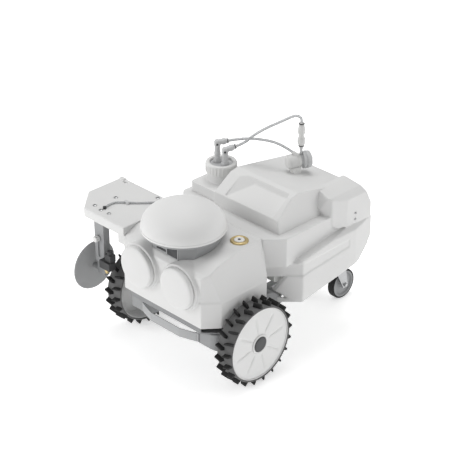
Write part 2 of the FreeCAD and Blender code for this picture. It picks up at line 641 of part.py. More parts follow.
def tank_hood():
    """Sloping cover; the recess in its front slope starts at nothing and is deepest at the top edge."""
    plan = [("-38", "hood_front + 3"), ("160", "hood_front + 3"), ("152", "hood_brow_y + 2"),
            ("-20", "hood_brow_y + 2")]

    def floor_side(drop):
        return [("hood_front + 3", f"hood_sill - 1 - {drop}"), ("hood_brow_y + 8", f"hood_brow - 8 - {drop}"),
                ("hood_brow_y + 8", "hood_peak + 10"), ("hood_front + 3", "hood_peak + 10")]
    recess = overlap(prism("XY", plan, "hood_sill - 30", "hood_peak + 8"),
                     prism("YZ", floor_side("0"), "-60", "180"))
    rim = [("-44", "hood_front + 3"), ("166", "hood_front + 3"), ("158", "hood_brow_y + 8"),
           ("-26", "hood_brow_y + 8")]
    tub = overlap(HOOD_FORM, prism("XY", rim, "hood_sill - 30", "hood_peak"),
                  prism("YZ", floor_side("hood_wall"), "-60", "180"))
    opening = box("hood_right + 6", "160", "164", "498", "ledge_top - 1", "ledge_top + 6")
    skin = cut(HOOD_FORM, hood_solid("hood_wall"), opening)
    return cut(joined(skin, tub), recess, HULL_FORM)


# Filler neck and cap ------------------------------------------------------------------------------
def filler_neck():
    """Block on the ledge with the neck above it and a tube down to the tank."""
    block = box("block_outer", "hood_right", "block_front", "block_rear", "ledge_top", "block_top")
    block = rounded(block, 8, lambda edge, mid: abs(mid.z - 418.5) < 1)
    neck = rod("Z", "neck_radius", "block_top - 1", "neck_top", "neck_x", "neck_y")
    tube = rod("Z", "neck_bore + 4", "tank_top", "ledge_top + 1", "neck_x", "neck_y")
    bore = rod("Z", "neck_bore", "tank_top - 1", "neck_top + 1", "neck_x", "neck_y")
    return cut(joined(block, neck, tube), bore)


def cap_collar():
    """Loose screw collar with grip ribs; its lip holds the insert down."""
    ring = turned([("neck_radius + running_gap", "cap_low"), ("cap_outer - 1.5", "cap_low"),
                   ("cap_outer - 1.5", "cap_top - 2"), ("cap_outer - 3", "cap_top"),
                   ("neck_radius", "cap_top"),
                   ("neck_radius - 1", "cap_top - 1"), ("neck_radius - 1", "neck_top + 3 + running_gap"),
                   ("neck_radius + running_gap", "neck_top + 3 + running_gap")], "Z", "neck_x", "neck_y")
    rib = Part.makeCylinder(1.8, amount("cap_top") - amount("cap_low") - 4)
    count = 28
    ribs = doc.addObject("Part::Feature", "ribs")
    ribs.Shape = Part.makeCompound([rib.translated(Vector(
        (amount("cap_outer") - 1.8) * math.cos(2 * math.pi * number / count),
        (amount("cap_outer") - 1.8) * math.sin(2 * math.pi * number / count), 0)) for number in range(count)])
    place(ribs, "neck_x", "neck_y", "cap_low")
    clear = rod("Z", "neck_radius + 1", "cap_low - 1", "cap_top + 1", "neck_x", "neck_y")
    return joined(ring, cut(ribs, clear))


def cap_insert():
    """Disc on the neck's rim, bored for the two elbow stems."""
    disc = turned([("0", "neck_top"), ("neck_radius", "neck_top"), ("neck_radius", "neck_top + 3"),
                   ("neck_radius - 1 - part_gap", "neck_top + 3"),
                   ("neck_radius - 1 - part_gap", "insert_top"),
                   ("0", "insert_top")], "Z", "neck_x", "neck_y")
    bores = [rod("Z", "stem_radius", "neck_top - 1", "insert_top + 1", f"neck_x + {side} * elbow_spread",
                 "neck_y")
             for side in (-1, 1)]
    return cut(disc, *bores)


def elbow(side, height, foot, rise):
    """Hexagon foot, stem down through the insert, and an outlet aimed at the pump or up at the valve."""
    x = f"neck_x + {side} * elbow_spread"
    stem = rod("Z", "stem_radius", foot, height, x, "neck_y")
    barrel = rod("Z", "elbow_radius - 1.5", "insert_top + 9", f"{height} - 12", x, "neck_y")
    collar = rod("Z", "elbow_radius", f"{height} - 14", f"{height} + 8", x, "neck_y")
    points = [(f"{x} + {11 * math.cos(turn):.4f}", f"neck_y + {11 * math.sin(turn):.4f}")
              for turn in (math.pi * number / 3 for number in range(6))]
    nut = prism("XY", points, "insert_top", "insert_top + 9")
    heading, climb = math.radians(amount("elbow_heading")), math.radians(rise)
    aim = Vector(math.cos(heading) * math.cos(climb), math.sin(heading) * math.cos(climb), math.sin(climb))
    knee = Vector(amount(x), amount("neck_y"), amount(height))
    outlet = strut(amount("elbow_radius - 3"), knee, knee + aim * amount("elbow_reach"))
    sleeve = strut(amount("elbow_radius - 1.5"), knee, knee + aim * amount("elbow_reach - 9"))
    return joined(stem, barrel, collar, nut, outlet, sleeve)


# Routes of the two tank hoses, corner by corner, from cap to pump and from cap to valve
FEED_ROUTE = [(-146.2, 280.0, 551.0), (-130.0, 312.0, 551.8), (-84.0, 330.0, 562.0), (-34.0, 354.0, 562.0),
              (0.0, 370.0, 551.0), (24.0, 381.0, 537.0)]
RETURN_ROUTE = [(-112.6, 279.3, 544.7), (-102.0, 300.2, 549.7), (-84.0, 320.0, 575.0), (-51.0, 342.0, 604.0),
                (-14.0, 366.0, 629.0), (9.0, 381.8, 646.0), (24.1, 392.2, 654.0), (33.1, 398.4, 652.5),
                (39.3, 402.7, 644.5), (39.3, 402.7, 634.0)]


# Pump, valve and tank ---------------------------------------------------------------------------
def ahead(distance):
    """Formulas of the point a distance along the pump's axis from its centre."""
    return (f"pump_x + ({distance}) * cos(pump_heading)", f"pump_y + ({distance}) * sin(pump_heading)")


def pump_body():
    """Motor can on a saddle, cut to the slope of the hood."""
    can = aimed_rod("pump_radius", "43", *ahead("-44"), "pump_z", "pump_heading")
    can = rounded(can, 7, lambda edge, mid: abs(edge.Length - 2 * math.pi * 22) < 0.5
                  and edge.BoundBox.Center.y < 375)
    saddle = box("pump_x - 14", "pump_x + 14", "pump_y - 32", "pump_y - 8", "450", "pump_z - 12")
    spigot = strut(6, FEED_ROUTE[-1], (41.6, 389.1, 526.7))
    return cut(joined(can, saddle, spigot), HOOD_FORM)


def pump_flange():
    """Pump head: a narrower neck, a wide flange and the outlet pipe up to the valve."""
    neck = aimed_rod("pump_radius - 3", "8.5", *ahead("-1"), "pump_z", "pump_heading")
    head = aimed_rod("pump_flange_radius", "25", *ahead("7"), "pump_z", "pump_heading")
    pipe = rod("Z", "3.6", "pump_z + 15", "valve_low", *ahead("pipe_ahead"))
    return joined(neck, head, pipe)


def check_valve():
    """Inline valve with two bulges, upright on the outlet pipe."""
    x, y = ahead("pipe_ahead")
    corners = [("0", "valve_low"), ("8", "valve_low"), ("8", "valve_low + 7"), ("10.5", "valve_low + 9"),
               ("12", "valve_low + 16"), ("12", "valve_low + 28"), ("8", "valve_low + 34"),
               ("8", "valve_low + 40"),
               ("11.5", "valve_low + 46"), ("11.5", "valve_low + 58"), ("9", "valve_low + 70"),
               ("8", "valve_low + 72"), ("8", "valve_top"), ("0", "valve_top")]
    return turned(corners, "Z", x, y)


def paint_tank():
    """Tank with a hole under the filler neck."""
    side = [("tank_front", "tank_low + 30"), ("212", "tank_low"), ("tank_rear", "tank_low"),
            ("tank_rear", "tank_top"), ("tank_front", "tank_top")]
    outer = prism("YZ", side, "-tank_half", "tank_half")
    room = prism("YZ", [("tank_front + 4", "tank_low + 33"), ("213", "tank_low + 4"),
                        ("tank_rear - 4", "tank_low + 4"), ("tank_rear - 4", "tank_top - 4"),
                        ("tank_front + 4", "tank_top - 4")], "-tank_half + 4", "tank_half - 4")
    hole = rod("Z", "neck_bore", "tank_top - 5", "tank_top + 1", "neck_x", "neck_y")
    return cut(outer, room, hole)


def hose(diameter, points):
    """A round tube along straight runs joined by tangent arcs; it prints its bend radii."""
    spots = [Vector(*point) for point in points]
    edges, start, radii = [], spots[0], []
    for before, corner, after in zip(spots, spots[1:], spots[2:]):
        arriving, leaving = (corner - before).normalize(), (after - corner).normalize()
        half_turn = arriving.getAngle(leaving) / 2
        reach = 0.45 * min((corner - before).Length, (after - corner).Length)
        radius = reach / math.tan(half_turn)
        radii.append(round(radius, 1))
        first, last = corner - arriving * reach, corner + leaving * reach
        inward = (leaving - arriving).normalize()
        middle = corner + inward * (radius / math.cos(half_turn) - radius)
        edges += [Part.LineSegment(start, first).toShape(), Part.Arc(first, middle, last).toShape()]
        start = last
    edges.append(Part.LineSegment(start, spots[-1]).toShape())
    path = Part.Wire(edges)
    section = Part.Wire(Part.makeCircle(diameter / 2, spots[0], spots[1] - spots[0]))
    form = doc.addObject("Part::Feature", "hose")
    form.Shape = path.makePipeShell([section], True, True)
    wanted = math.pi * diameter ** 2 / 4 * path.Length
    print(f"hose: length {path.Length:.0f}, radii {radii}, volume ratio {form.Shape.Volume / wanted:.3f}")
    return form


node("rear_hull", rear_hull())
node("body_screws", body_screws())
node("tank_hood", tank_hood())
node("filler_neck", filler_neck())
node("cap_collar", cap_collar())
node("cap_insert", cap_insert())
node("elbow_feed", elbow(-1, "elbow_a_height", "tank_low + 20", 0))
node("elbow_return", elbow(1, "elbow_b_height", "neck_top - 20", 12))
node("feed_hose", hose(amount("hose_dia"), FEED_ROUTE))
node("return_hose", hose(amount("hose_dia"), RETURN_ROUTE))
node("pump_body", pump_body())
node("pump_flange", pump_flange())
node("check_valve", check_valve())
node("paint_tank", paint_tank())


# Outrigger plate ----------------------------------------------------------------------------------
PLATE_SCREWS = [("-330", "-22"), ("-336", "-100"), ("-301", "-106"), ("-267", "-104"), ("-238", "67")]
FITTINGS = [("-300", "-92"), ("-205", "56")]


def outrigger_plate():
    """Shallow tray over the right-hand side, with a rear tab, a slot and a stay down to the shell."""
    outline = [("plate_inner", "plate_front"), ("plate_inner", "plate_rear"), ("plate_outer", "plate_rear"),
               ("plate_outer", "plate_corner_y"), ("plate_corner_x", "plate_front")]
    inner = [("plate_inner - 6", "plate_front + plate_wall"), ("plate_inner - 6", "plate_rear - plate_wall"),
             ("plate_outer + plate_wall", "plate_rear - plate_wall"),
             ("plate_outer + plate_wall", "plate_corner_y + 2"),
             ("plate_corner_x + 2", "plate_front + plate_wall")]
    top = rounded(prism("XY", outline, "plate_top - plate_skirt", "plate_top"), 4,
                  lambda edge, mid: abs(mid.z - amount("plate_top")) < 0.1)
    hollow = prism("XY", inner, "plate_top - plate_skirt - 1", "plate_top - plate_wall")
    tab = box("plate_outer + 3", "plate_outer + 24", "plate_rear - 14", "plate_rear - 3", "plate_top - 2",
              "plate_top + 5")
    slot = box("-396", "-378", "64", "72", "plate_top - 10", "plate_top + 1")
    stay = box("-229", "-186", "-104", "-98", "316", "plate_top - plate_wall")
    holes = [rod("Z", "2.5", "plate_top - 10", "plate_top + 1", x, y) for x, y in PLATE_SCREWS + FITTINGS]
    return cut(joined(cut(top, hollow), tab, stay), slot, SHELL_FORM, *holes)


def plate_screws():
    return group(*[joined(rod("Z", "6.4", "plate_top", "plate_top + 2.5", x, y),
                          rod("Z", "2.5", "plate_top - plate_wall", "plate_top + 1", x, y)) for x,
                          y in PLATE_SCREWS])


def plate_fitting():
    """Bulkhead fittings at both ends of the small hose."""
    fittings = []
    for x, y in FITTINGS:
        body = rod("Z", "6", "plate_top", "plate_top + 7", x, y)
        fittings.append(joined(body, rod("Z", "2.5", "plate_top - 5", "plate_top + 1", x, y)))
    return group(*fittings)


SPRAY_ROUTE = [(-301.7, -86.2, 401.5), (-312.0, -51.0, 401.5), (-277.0, -23.0, 401.5), (-236.0, 14.0, 401.5),
               (-208.9, 51.4, 401.5)]


def hose_clip():
    """Small saddle that holds the hose to the plate."""
    block = box("-286", "-268", "-28", "-18", "plate_top", "plate_top + 8.5")
    tunnel = strut(3.6, SPRAY_ROUTE[1], (-242.0, 5.0, 401.5))
    return cut(rounded(block, 1.5, lambda edge, mid: mid.z > amount("plate_top") + 8), tunnel)


# Post and spray head ------------------------------------------------------------------------------
def spray_post():
    """Square tube with a slot in its front face."""
    tube = box("post_right", "post_left", "post_front", "post_front + post_depth", "post_low",
               "plate_top - plate_wall")
    room = box("post_right + post_wall", "post_left - post_wall", "post_front + post_wall",
               "post_front + post_depth - post_wall", "post_low - 1", "plate_top - plate_wall - 12")
    slot = box("slot_x - slot_half", "slot_x + slot_half", "post_front - 1", "post_front + post_wall + 1",
               "slot_low", "slot_high")
    return cut(tube, room, slot)


def disc_arm():
    """Bar that slides in the post and carries the disc's pin at its lower end."""
    bar = box("post_right + post_wall + part_gap", "post_left - post_wall - part_gap",
              "post_front + post_wall + part_gap", "post_front + post_depth - post_wall - part_gap",
              "disc_z - 12", "slot_high + 5")
    pin = rod("X", "pin_radius", "disc_x - 8", "post_left - 10", "disc_y + 10", "disc_z")
    shoulder = rod("X", "9", "disc_x + disc_thickness / 2 + part_gap", "post_right + 4", "disc_y + 10",
                   "disc_z")
    thread = rod("Y", "pin_radius", "post_front - 1", "post_front + 12", "slot_x", "knob_z")
    return cut(joined(bar, pin, shoulder), thread)


def height_knob():
    grip = rod("Y", "10", "post_front - 17", "post_front - part_gap", "slot_x", "knob_z")
    grip = rounded(grip, 3, lambda edge, mid: edge.BoundBox.YMax < amount("post_front") - 16)
    stud = rod("Y", "pin_radius - running_gap", "post_front - 2", "post_front + 12", "slot_x", "knob_z")
    return joined(grip, stud)


def spray_disc():
    """Flat disc that keeps the edge of the painted line straight."""
    face = rod("X", "disc_radius", "disc_x - disc_thickness / 2", "disc_x + disc_thickness / 2",
               "disc_y + 10",
               "disc_z")
    boss = rod("X", "12", "disc_x - 5", "disc_x", "disc_y + 10", "disc_z")
    bore = rod("X", "pin_radius + running_gap", "disc_x - 10", "disc_x + 10", "disc_y + 10", "disc_z")
    return cut(joined(face, boss), bore)


def disc_screw():
    cap = rod("X", "8", "disc_x - 9.5", "disc_x - 5 - part_gap", "disc_y + 10", "disc_z")
    return cut(cap, rod("X", "pin_radius", "disc_x - 8", "disc_x", "disc_y + 10", "disc_z"))


def nozzle_carrier():
    return box("post_left", "post_left + 46", "post_front - 21", "post_front + 5", "carrier_low",
               "carrier_top")


def spray_valve():
    """Solenoid on the carrier."""
    body = box("post_left + 18", "post_left + 44", "post_front - 14", "post_front + 8", "carrier_top",
               "carrier_top + 24")
    coil = rod("Z", "9", "carrier_top + 23", "carrier_top + 36", "post_left + 31", "post_front - 3")
    return joined(body, coil)


def spray_nozzle():
    corners = [("0", "carrier_low"), ("8", "carrier_low"), ("8", "carrier_low - 7"),
               ("6", "carrier_low - 10"),
               ("6", "carrier_low - 14"), ("2.5", "carrier_low - 16"), ("0", "carrier_low - 16")]
    return turned(corners, "Z", "post_left + 23", "post_front - 10")


node("outrigger_plate", outrigger_plate())
node("plate_screws", plate_screws())
node("plate_fitting", plate_fitting())
node("spray_hose", hose(amount("small_hose_dia"), SPRAY_ROUTE))
node("hose_clip", hose_clip())
node("spray_post", spray_post())
node("disc_arm", disc_arm())
node("height_knob", height_knob())
node("spray_disc", spray_disc())
node("disc_screw", disc_screw())
node("nozzle_carrier", nozzle_carrier())
node("spray_valve", spray_valve())
node("spray_nozzle", spray_nozzle())


def write_parts():
    """Checks every object and writes each node's shape."""
    doc.recompute()
    failed = [item.Label for item in doc.Objects if {"Invalid", "Error"} & set(item.State)]
    for name, form in NODES.items():
        if form.Shape.isNull() or not form.Shape.isValid() or not form.Shape.Solids:
            failed.append(name)
    if failed:
        raise SystemExit(f"failed: {failed}")
    os.makedirs("parts", exist_ok=True)
    for name, form in NODES.items():
        form.Shape.exportStep(f"parts/{name}.step")
        print(f"{name}: {len(form.Shape.Solids)} solids, {form.Shape.Volume / 1000:.1f} cm3")


write_parts()
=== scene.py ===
"""Looks of the robotic turf line marker: soft moulded covers, lugged wheels, hoses and fittings."""
import json
import math

import bmesh
import bpy
from mathutils import Matrix, Vector


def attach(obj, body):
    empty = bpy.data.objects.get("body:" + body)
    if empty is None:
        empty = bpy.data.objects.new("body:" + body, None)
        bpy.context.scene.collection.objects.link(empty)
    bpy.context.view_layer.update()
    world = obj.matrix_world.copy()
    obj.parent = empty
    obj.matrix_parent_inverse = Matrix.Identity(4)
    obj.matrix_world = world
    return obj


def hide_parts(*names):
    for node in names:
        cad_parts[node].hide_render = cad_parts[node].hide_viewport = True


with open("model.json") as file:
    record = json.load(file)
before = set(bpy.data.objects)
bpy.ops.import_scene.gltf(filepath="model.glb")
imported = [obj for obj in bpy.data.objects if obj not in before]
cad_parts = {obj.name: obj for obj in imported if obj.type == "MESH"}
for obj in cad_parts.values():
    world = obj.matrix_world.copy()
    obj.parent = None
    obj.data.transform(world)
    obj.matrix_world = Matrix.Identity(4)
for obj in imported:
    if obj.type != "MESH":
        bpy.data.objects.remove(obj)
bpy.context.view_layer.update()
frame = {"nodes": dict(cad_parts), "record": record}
MM = 0.001
SCENE = bpy.context.scene


# Camera, light and floor ------------------------------------------------------------------------
TARGET = Vector((-0.2133, 0.3637, 0.170))
AZIMUTH, ELEVATION, DISTANCE = math.radians(45.314), math.radians(29.168), 5.297


def camera():
    back = Vector((math.sin(AZIMUTH) * math.cos(ELEVATION), -math.cos(AZIMUTH) * math.cos(ELEVATION),
                   math.sin(ELEVATION)))
    data = bpy.data.cameras.new("camera")
    data.sensor_width = 36
    data.lens = 127.74
    seen = bpy.data.objects.new("camera", data)
    seen.location = TARGET + back * DISTANCE
    seen.rotation_euler = back.to_track_quat("Z", "Y").to_euler()
    SCENE.collection.objects.link(seen)
    SCENE.camera = seen


def soft_light(name, place, size, power):
    data = bpy.data.lights.new(name, "AREA")
    data.shape = "DISK"
    data.size = size
    data.energy = power
    lamp = bpy.data.objects.new(name, data)
    lamp.location = place
    lamp.rotation_euler = (Vector(place) - Vector((0, 0.2, 0.25))).to_track_quat("Z", "Y").to_euler()
    SCENE.collection.objects.link(lamp)


def surroundings():
    """Pale floor, an even white sky and soft lamps at the front, the left and above."""
    sky = bpy.data.worlds.new("sky")
    sky.use_nodes = True
    sky.node_tree.nodes["Background"].inputs["Color"].default_value = (1, 1, 1, 1)
    sky.node_tree.nodes["Background"].inputs["Strength"].default_value = 0.46
    SCENE.world = sky
    SCENE.view_settings.view_transform = "Standard"
    soft_light("front_lamp", (-1.8, -2.6, 1.7), 1.6, 40)
    soft_light("left_lamp", (3.0, 2.6, 1.5), 1.6, 26)
    soft_light("top_lamp", (-0.6, 0.8, 3.2), 2.0, 36)
    form = bmesh.new()
    bmesh.ops.create_grid(form, x_segments=8, y_segments=8, size=14)
    mesh = bpy.data.meshes.new("floor")
    form.to_mesh(mesh)
    form.free()
    floor = bpy.data.objects.new("floor", mesh)
    floor.location.z = -0.0005
    SCENE.collection.objects.link(floor)
    paint = surface("floor_paint", (0.92, 0.92, 0.92), 0.9, grain=40, bump=0.02, tint=0.01, specular=0)
    paint.node_tree.nodes["Principled BSDF"].inputs["Emission Color"].default_value = (1, 1, 1, 1)
    paint.node_tree.nodes["Principled BSDF"].inputs["Emission Strength"].default_value = 0.5
    mesh.materials.append(paint)


# Materials --------------------------------------------------------------------------------------
def surface(name, colour, roughness, metal=0.0, grain=900, bump=0.08, tint=0.04,
            specular=0.5, clear=0.0, brushed=None):
    """A procedural finish: slow and fine colour drift, uneven roughness and a fine grain."""
    made = bpy.data.materials.new(name)
    made.use_nodes = True
    nodes, links = made.node_tree.nodes, made.node_tree.links
    shader = nodes["Principled BSDF"]
    shader.inputs["Metallic"].default_value = metal
    shader.inputs["Specular IOR Level"].default_value = specular
    shader.inputs["Transmission Weight"].default_value = clear
    place = nodes.new("ShaderNodeTexCoord")
    stretch = nodes.new("ShaderNodeMapping")
    stretch.inputs["Scale"].default_value = brushed or (1, 1, 1)
    links.new(place.outputs["Object"], stretch.inputs["Vector"])

    def noise(scale, detail):
        node = nodes.new("ShaderNodeTexNoise")
        node.inputs["Scale"].default_value = scale
        node.inputs["Detail"].default_value = detail
        links.new(stretch.outputs["Vector"], node.inputs["Vector"])
        return node.outputs["Fac"]
    slow, fine = noise(9, 3), noise(grain, 2)
    mixed = nodes.new("ShaderNodeMath")
    mixed.operation = "MULTIPLY_ADD"
    mixed.inputs[1].default_value = 0.35
    links.new(fine, mixed.inputs[0])
    links.new(slow, mixed.inputs[2])
    ramp = nodes.new("ShaderNodeValToRGB")
    ramp.color_ramp.elements[0].position = 0.35
    ramp.color_ramp.elements[1].position = 1.0
    ramp.color_ramp.elements[0].color = [max(0, part * (1 - tint)) for part in colour] + [1]
    ramp.color_ramp.elements[1].color = [min(1, part * (1 + tint)) for part in colour] + [1]
    links.new(mixed.outputs[0], ramp.inputs["Fac"])
    links.new(ramp.outputs["Color"], shader.inputs["Base Color"])
    spread = nodes.new("ShaderNodeMapRange")
    spread.inputs["To Min"].default_value = max(0.02, roughness - 0.08)
    spread.inputs["To Max"].default_value = min(1, roughness + 0.08)
    links.new(slow, spread.inputs["Value"])
    links.new(spread.outputs["Result"], shader.inputs["Roughness"])
    relief = nodes.new("ShaderNodeBump")
    relief.inputs["Strength"].default_value = bump
    relief.inputs["Distance"].default_value = 0.0004
    links.new(fine, relief.inputs["Height"])
    links.new(relief.outputs["Normal"], shader.inputs["Normal"])
    return made


FINISHES = {
    "shell_white": surface("shell_white", (0.70, 0.70, 0.695), 0.5, bump=0.05, tint=0.02, specular=0.4),
    "hull_white": surface("hull_white", (0.71, 0.71, 0.705), 0.5, bump=0.06, tint=0.02, specular=0.4),
    "dome_white": surface("dome_white", (0.74, 0.74, 0.735), 0.55, bump=0.03, tint=0.015, specular=0.35),
    "base_grey": surface("base_grey", (0.30, 0.305, 0.31), 0.5, bump=0.12, tint=0.06),
    "pan_grey": surface("pan_grey", (0.25, 0.255, 0.26), 0.5, bump=0.15, tint=0.08),
    "light_grey": surface("light_grey", (0.40, 0.405, 0.41), 0.5, bump=0.12, tint=0.06),
    "dark_plastic": surface("dark_plastic", (0.035, 0.035, 0.037), 0.5, bump=0.15, tint=0.2),
    "tyre_black": surface("tyre_black", (0.02, 0.02, 0.02), 0.72, bump=0.4, grain=420, tint=0.35,
                          specular=0.3),
    "wheel_white": surface("wheel_white", (0.72, 0.72, 0.715), 0.4, bump=0.05, tint=0.02),
    "steel": surface("steel", (0.46, 0.465, 0.47), 0.34, metal=0.9, bump=0.1, tint=0.08, brushed=(1, 1, 14)),
    "brass": surface("brass", (0.66, 0.52, 0.26), 0.3, metal=0.85, bump=0.08, tint=0.1),
    "button_white": surface("button_white", (0.8, 0.79, 0.76), 0.35, bump=0.03, tint=0.02),
    "window_glass": surface("window_glass", (0.045, 0.047, 0.05), 0.3, bump=0.02, tint=0.1, specular=0.35),
    "hose_clear": surface("hose_clear", (0.62, 0.63, 0.64), 0.22, bump=0.05, tint=0.06, clear=0.55),
    "black_hose": surface("black_hose", (0.16, 0.16, 0.165), 0.45, bump=0.1, tint=0.2),
    "valve_plastic": surface("valve_plastic", (0.68, 0.68, 0.67), 0.42, bump=0.06, tint=0.05),
    "tank_plastic": surface("tank_plastic", (0.7, 0.71, 0.69), 0.55, bump=0.12, tint=0.04),
    "knob_white": surface("knob_white", (0.74, 0.74, 0.73), 0.45, bump=0.06, tint=0.03),
    "battery": surface("battery", (0.06, 0.065, 0.07), 0.5, bump=0.15, tint=0.15),
}
TREAD_GREY = surface("tread_grey", (0.13, 0.13, 0.13), 0.75, bump=0.35, grain=380, tint=0.2, specular=0.3)
FINISHES["disc_grey"] = surface("disc_grey", (0.37, 0.375, 0.38), 0.45, bump=0.08, tint=0.05)
FINISHES["fitting_grey"] = surface("fitting_grey", (0.56, 0.565, 0.57), 0.4, bump=0.08, tint=0.05)
FINISHES["hub_grey"] = surface("hub_grey", (0.06, 0.062, 0.064), 0.5, bump=0.12, tint=0.1)

SLOT_OF = {}
for entry in frame["record"]["subparts"]:
    SLOT_OF[entry["node"]] = entry["material_slot"]
for node_name, thing in frame["nodes"].items():
    for slot_number in range(len(thing.material_slots)):
        thing.material_slots[slot_number].material = FINISHES[SLOT_OF[node_name]]


camera()
surroundings()


# Hoses ------------------------------------------------------------------------------------------
FEED_ROUTE = [(-146.2, 280.0, 551.0), (-130.0, 312.0, 551.8), (-84.0, 330.0, 562.0),
              (-34.0, 354.0, 562.0), (0.0, 370.0, 551.0), (24.0, 381.0, 537.0)]
RETURN_ROUTE = [(-112.6, 279.3, 544.7), (-102.0, 300.2, 549.7), (-84.0, 320.0, 575.0),
                (-51.0, 342.0, 604.0), (-14.0, 366.0, 629.0), (9.0, 381.8, 646.0), (24.1, 392.2, 654.0),
                (33.1, 398.4, 652.5), (39.3, 402.7, 644.5), (39.3, 402.7, 634.0)]
SPRAY_ROUTE = [(-301.7, -86.2, 401.5), (-312.0, -51.0, 401.5), (-277.0, -23.0, 401.5),
               (-236.0, 14.0, 401.5), (-208.9, 51.4, 401.5)]


def hose(name, route, diameter, finish):
    data = bpy.data.curves.new(name + "_line", "CURVE")
    data.dimensions = "3D"
    data.bevel_depth = diameter / 2 * MM
    data.bevel_resolution = 6
    data.resolution_u = 24
    data.use_fill_caps = True
    line = data.splines.new("NURBS")
    line.points.add(len(route) - 1)
    for point, spot in zip(line.points, route):
        point.co = (*(Vector(spot) * MM), 1)
    line.order_u = 3
    line.use_endpoint_u = True
    made = bpy.data.objects.new(name + "_line", data)
    SCENE.collection.objects.link(made)
    data.materials.append(FINISHES[finish])
    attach(made, "machine")
    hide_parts(name)


hose("feed_hose", FEED_ROUTE, 8, "hose_clear")
hose("return_hose", RETURN_ROUTE, 8, "hose_clear")
hose("spray_hose", SPRAY_ROUTE, 6, "hose_clear")


# Mesh builders ----------------------------------------------------------------------------------
def piece_from(form, name, body, finish, nodes=(), smooth=35):
    """Turns a bmesh into a piece that rides on a body and stands for some CAD nodes."""
    bmesh.ops.recalc_face_normals(form, faces=form.faces)
    mesh = bpy.data.meshes.new(name)
    form.to_mesh(mesh)
    form.free()
    made = bpy.data.objects.new(name, mesh)
    SCENE.collection.objects.link(made)
    mesh.materials.append(FINISHES[finish])
    if smooth:
        mesh.shade_smooth()
        mesh.set_sharp_from_angle(angle=math.radians(smooth))
    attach(made, body)
    if nodes:
        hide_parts(*nodes)
    return made


def apply_modifiers(made):
    """Bakes an object's modifiers into its mesh."""
    bpy.context.view_layer.update()
    seen = made.evaluated_get(bpy.context.evaluated_depsgraph_get())
    baked = bpy.data.meshes.new_from_object(seen)
    made.modifiers.clear()
    made.data = baked
    return made


def carve(low, high, *outlines):
    """A box cut down to convex outlines, each given as (plane letters, corners) in millimetres."""
    form = bmesh.new()
    bmesh.ops.create_cube(form, size=1)
    low, high = Vector(low) * MM, Vector(high) * MM
    for point in form.verts:
        point.co = Vector([low[i] + (point.co[i] + 0.5) * (high[i] - low[i]) for i in range(3)])
    for letters, corners in outlines:
        first, second = ("XYZ".index(letter) for letter in letters)
        middle = [sum(corner[i] for corner in corners) / len(corners) for i in range(2)]
        for (u, v), (u_next, v_next) in zip(corners, corners[1:] + corners[:1]):
            point, normal = Vector(), Vector()
            point[first], point[second] = u * MM, v * MM
            normal[first], normal[second] = v_next - v, u - u_next
            if normal[first] * (middle[0] - u) + normal[second] * (middle[1] - v) > 0:
                normal = -normal
            done = bmesh.ops.bisect_plane(form, geom=form.verts[:] + form.edges[:] + form.faces[:],
                                          plane_co=point, plane_no=normal.normalized(), clear_outer=True,
                                          dist=1e-6)
            rim = [item for item in done["geom_cut"] if isinstance(item, bmesh.types.BMEdge)]
            if len(rim) > 2:
                bmesh.ops.contextual_create(form, geom=rim)
    return form


def loose(form, name="form"):
    """A bmesh as an unlisted object, for use as a tool."""
    bmesh.ops.recalc_face_normals(form, faces=form.faces)
    mesh = bpy.data.meshes.new(name)
    form.to_mesh(mesh)
    form.free()
    made = bpy.data.objects.new(name, mesh)
    SCENE.collection.objects.link(made)
    return made


def blended(base, adds=(), cuts=(), voxel=2.4, rounds=9, keep=0.35):
    """Joins and cuts tool objects, then rounds every edge as a moulding does unless the voxel is nought."""
    for tool in list(adds) + list(cuts):
        step = base.modifiers.new("step", "BOOLEAN")
        step.operation = "UNION" if tool in adds else "DIFFERENCE"
        step.solver = "EXACT"
        step.object = tool
    apply_modifiers(base)
    for tool in list(adds) + list(cuts):
        bpy.data.objects.remove(tool)
    if not voxel:
        form = bmesh.new()
        form.from_mesh(base.data)
        bpy.data.objects.remove(base)
        return form
    net = base.modifiers.new("net", "REMESH")
    net.mode = "VOXEL"
    net.voxel_size = voxel * MM
    soft = base.modifiers.new("soft", "SMOOTH")
    soft.factor = 0.5
    soft.iterations = rounds
    if keep < 1:
        fewer = base.modifiers.new("fewer", "DECIMATE")
        fewer.ratio = keep
    apply_modifiers(base)
    form = bmesh.new()
    form.from_mesh(base.data)
    bpy.data.objects.remove(base)
    return form


def copied(node):
    """The CAD node's mesh as a new closed object."""
    form = bmesh.new()
    form.from_mesh(frame["nodes"][node].data)
    bmesh.ops.remove_doubles(form, verts=form.verts, dist=1e-6)
    return loose(form, node + "_copy")


def softened(node, body, finish=None, voxel=1.6, rounds=6, keep=0.4, smooth=40):
    """A CAD node with its edges rounded."""
    form = blended(copied(node), voxel=voxel, rounds=rounds, keep=keep)
    return piece_from(form, node + "_soft", body, finish or SLOT_OF[node], (node,), smooth)


AXES = {"X": (Vector((0, 1, 0)), Vector((0, 0, 1)), Vector((1, 0, 0))),
        "Y": (Vector((0, 0, 1)), Vector((1, 0, 0)), Vector((0, 1, 0))),
        "Z": (Vector((1, 0, 0)), Vector((0, 1, 0)), Vector((0, 0, 1)))}


def rounded_profile(profile, radius, steps=4):
    """Rounds the inner corners of a (radius, height) profile."""
    points = [Vector(point) for point in profile]
    out = [points[0]]
    for before, corner, after in zip(points, points[1:], points[2:]):
        reach = min(radius, (corner - before).length * 0.45, (after - corner).length * 0.45)
        start = corner + (before - corner).normalized() * reach
        end = corner + (after - corner).normalized() * reach
        for number in range(steps + 1):
            t = number / steps
            out.append(start * (1 - t) ** 2 + corner * 2 * t * (1 - t) + end * t ** 2)
    out.append(points[-1])
    return [(point[0], point[1]) for point in out]


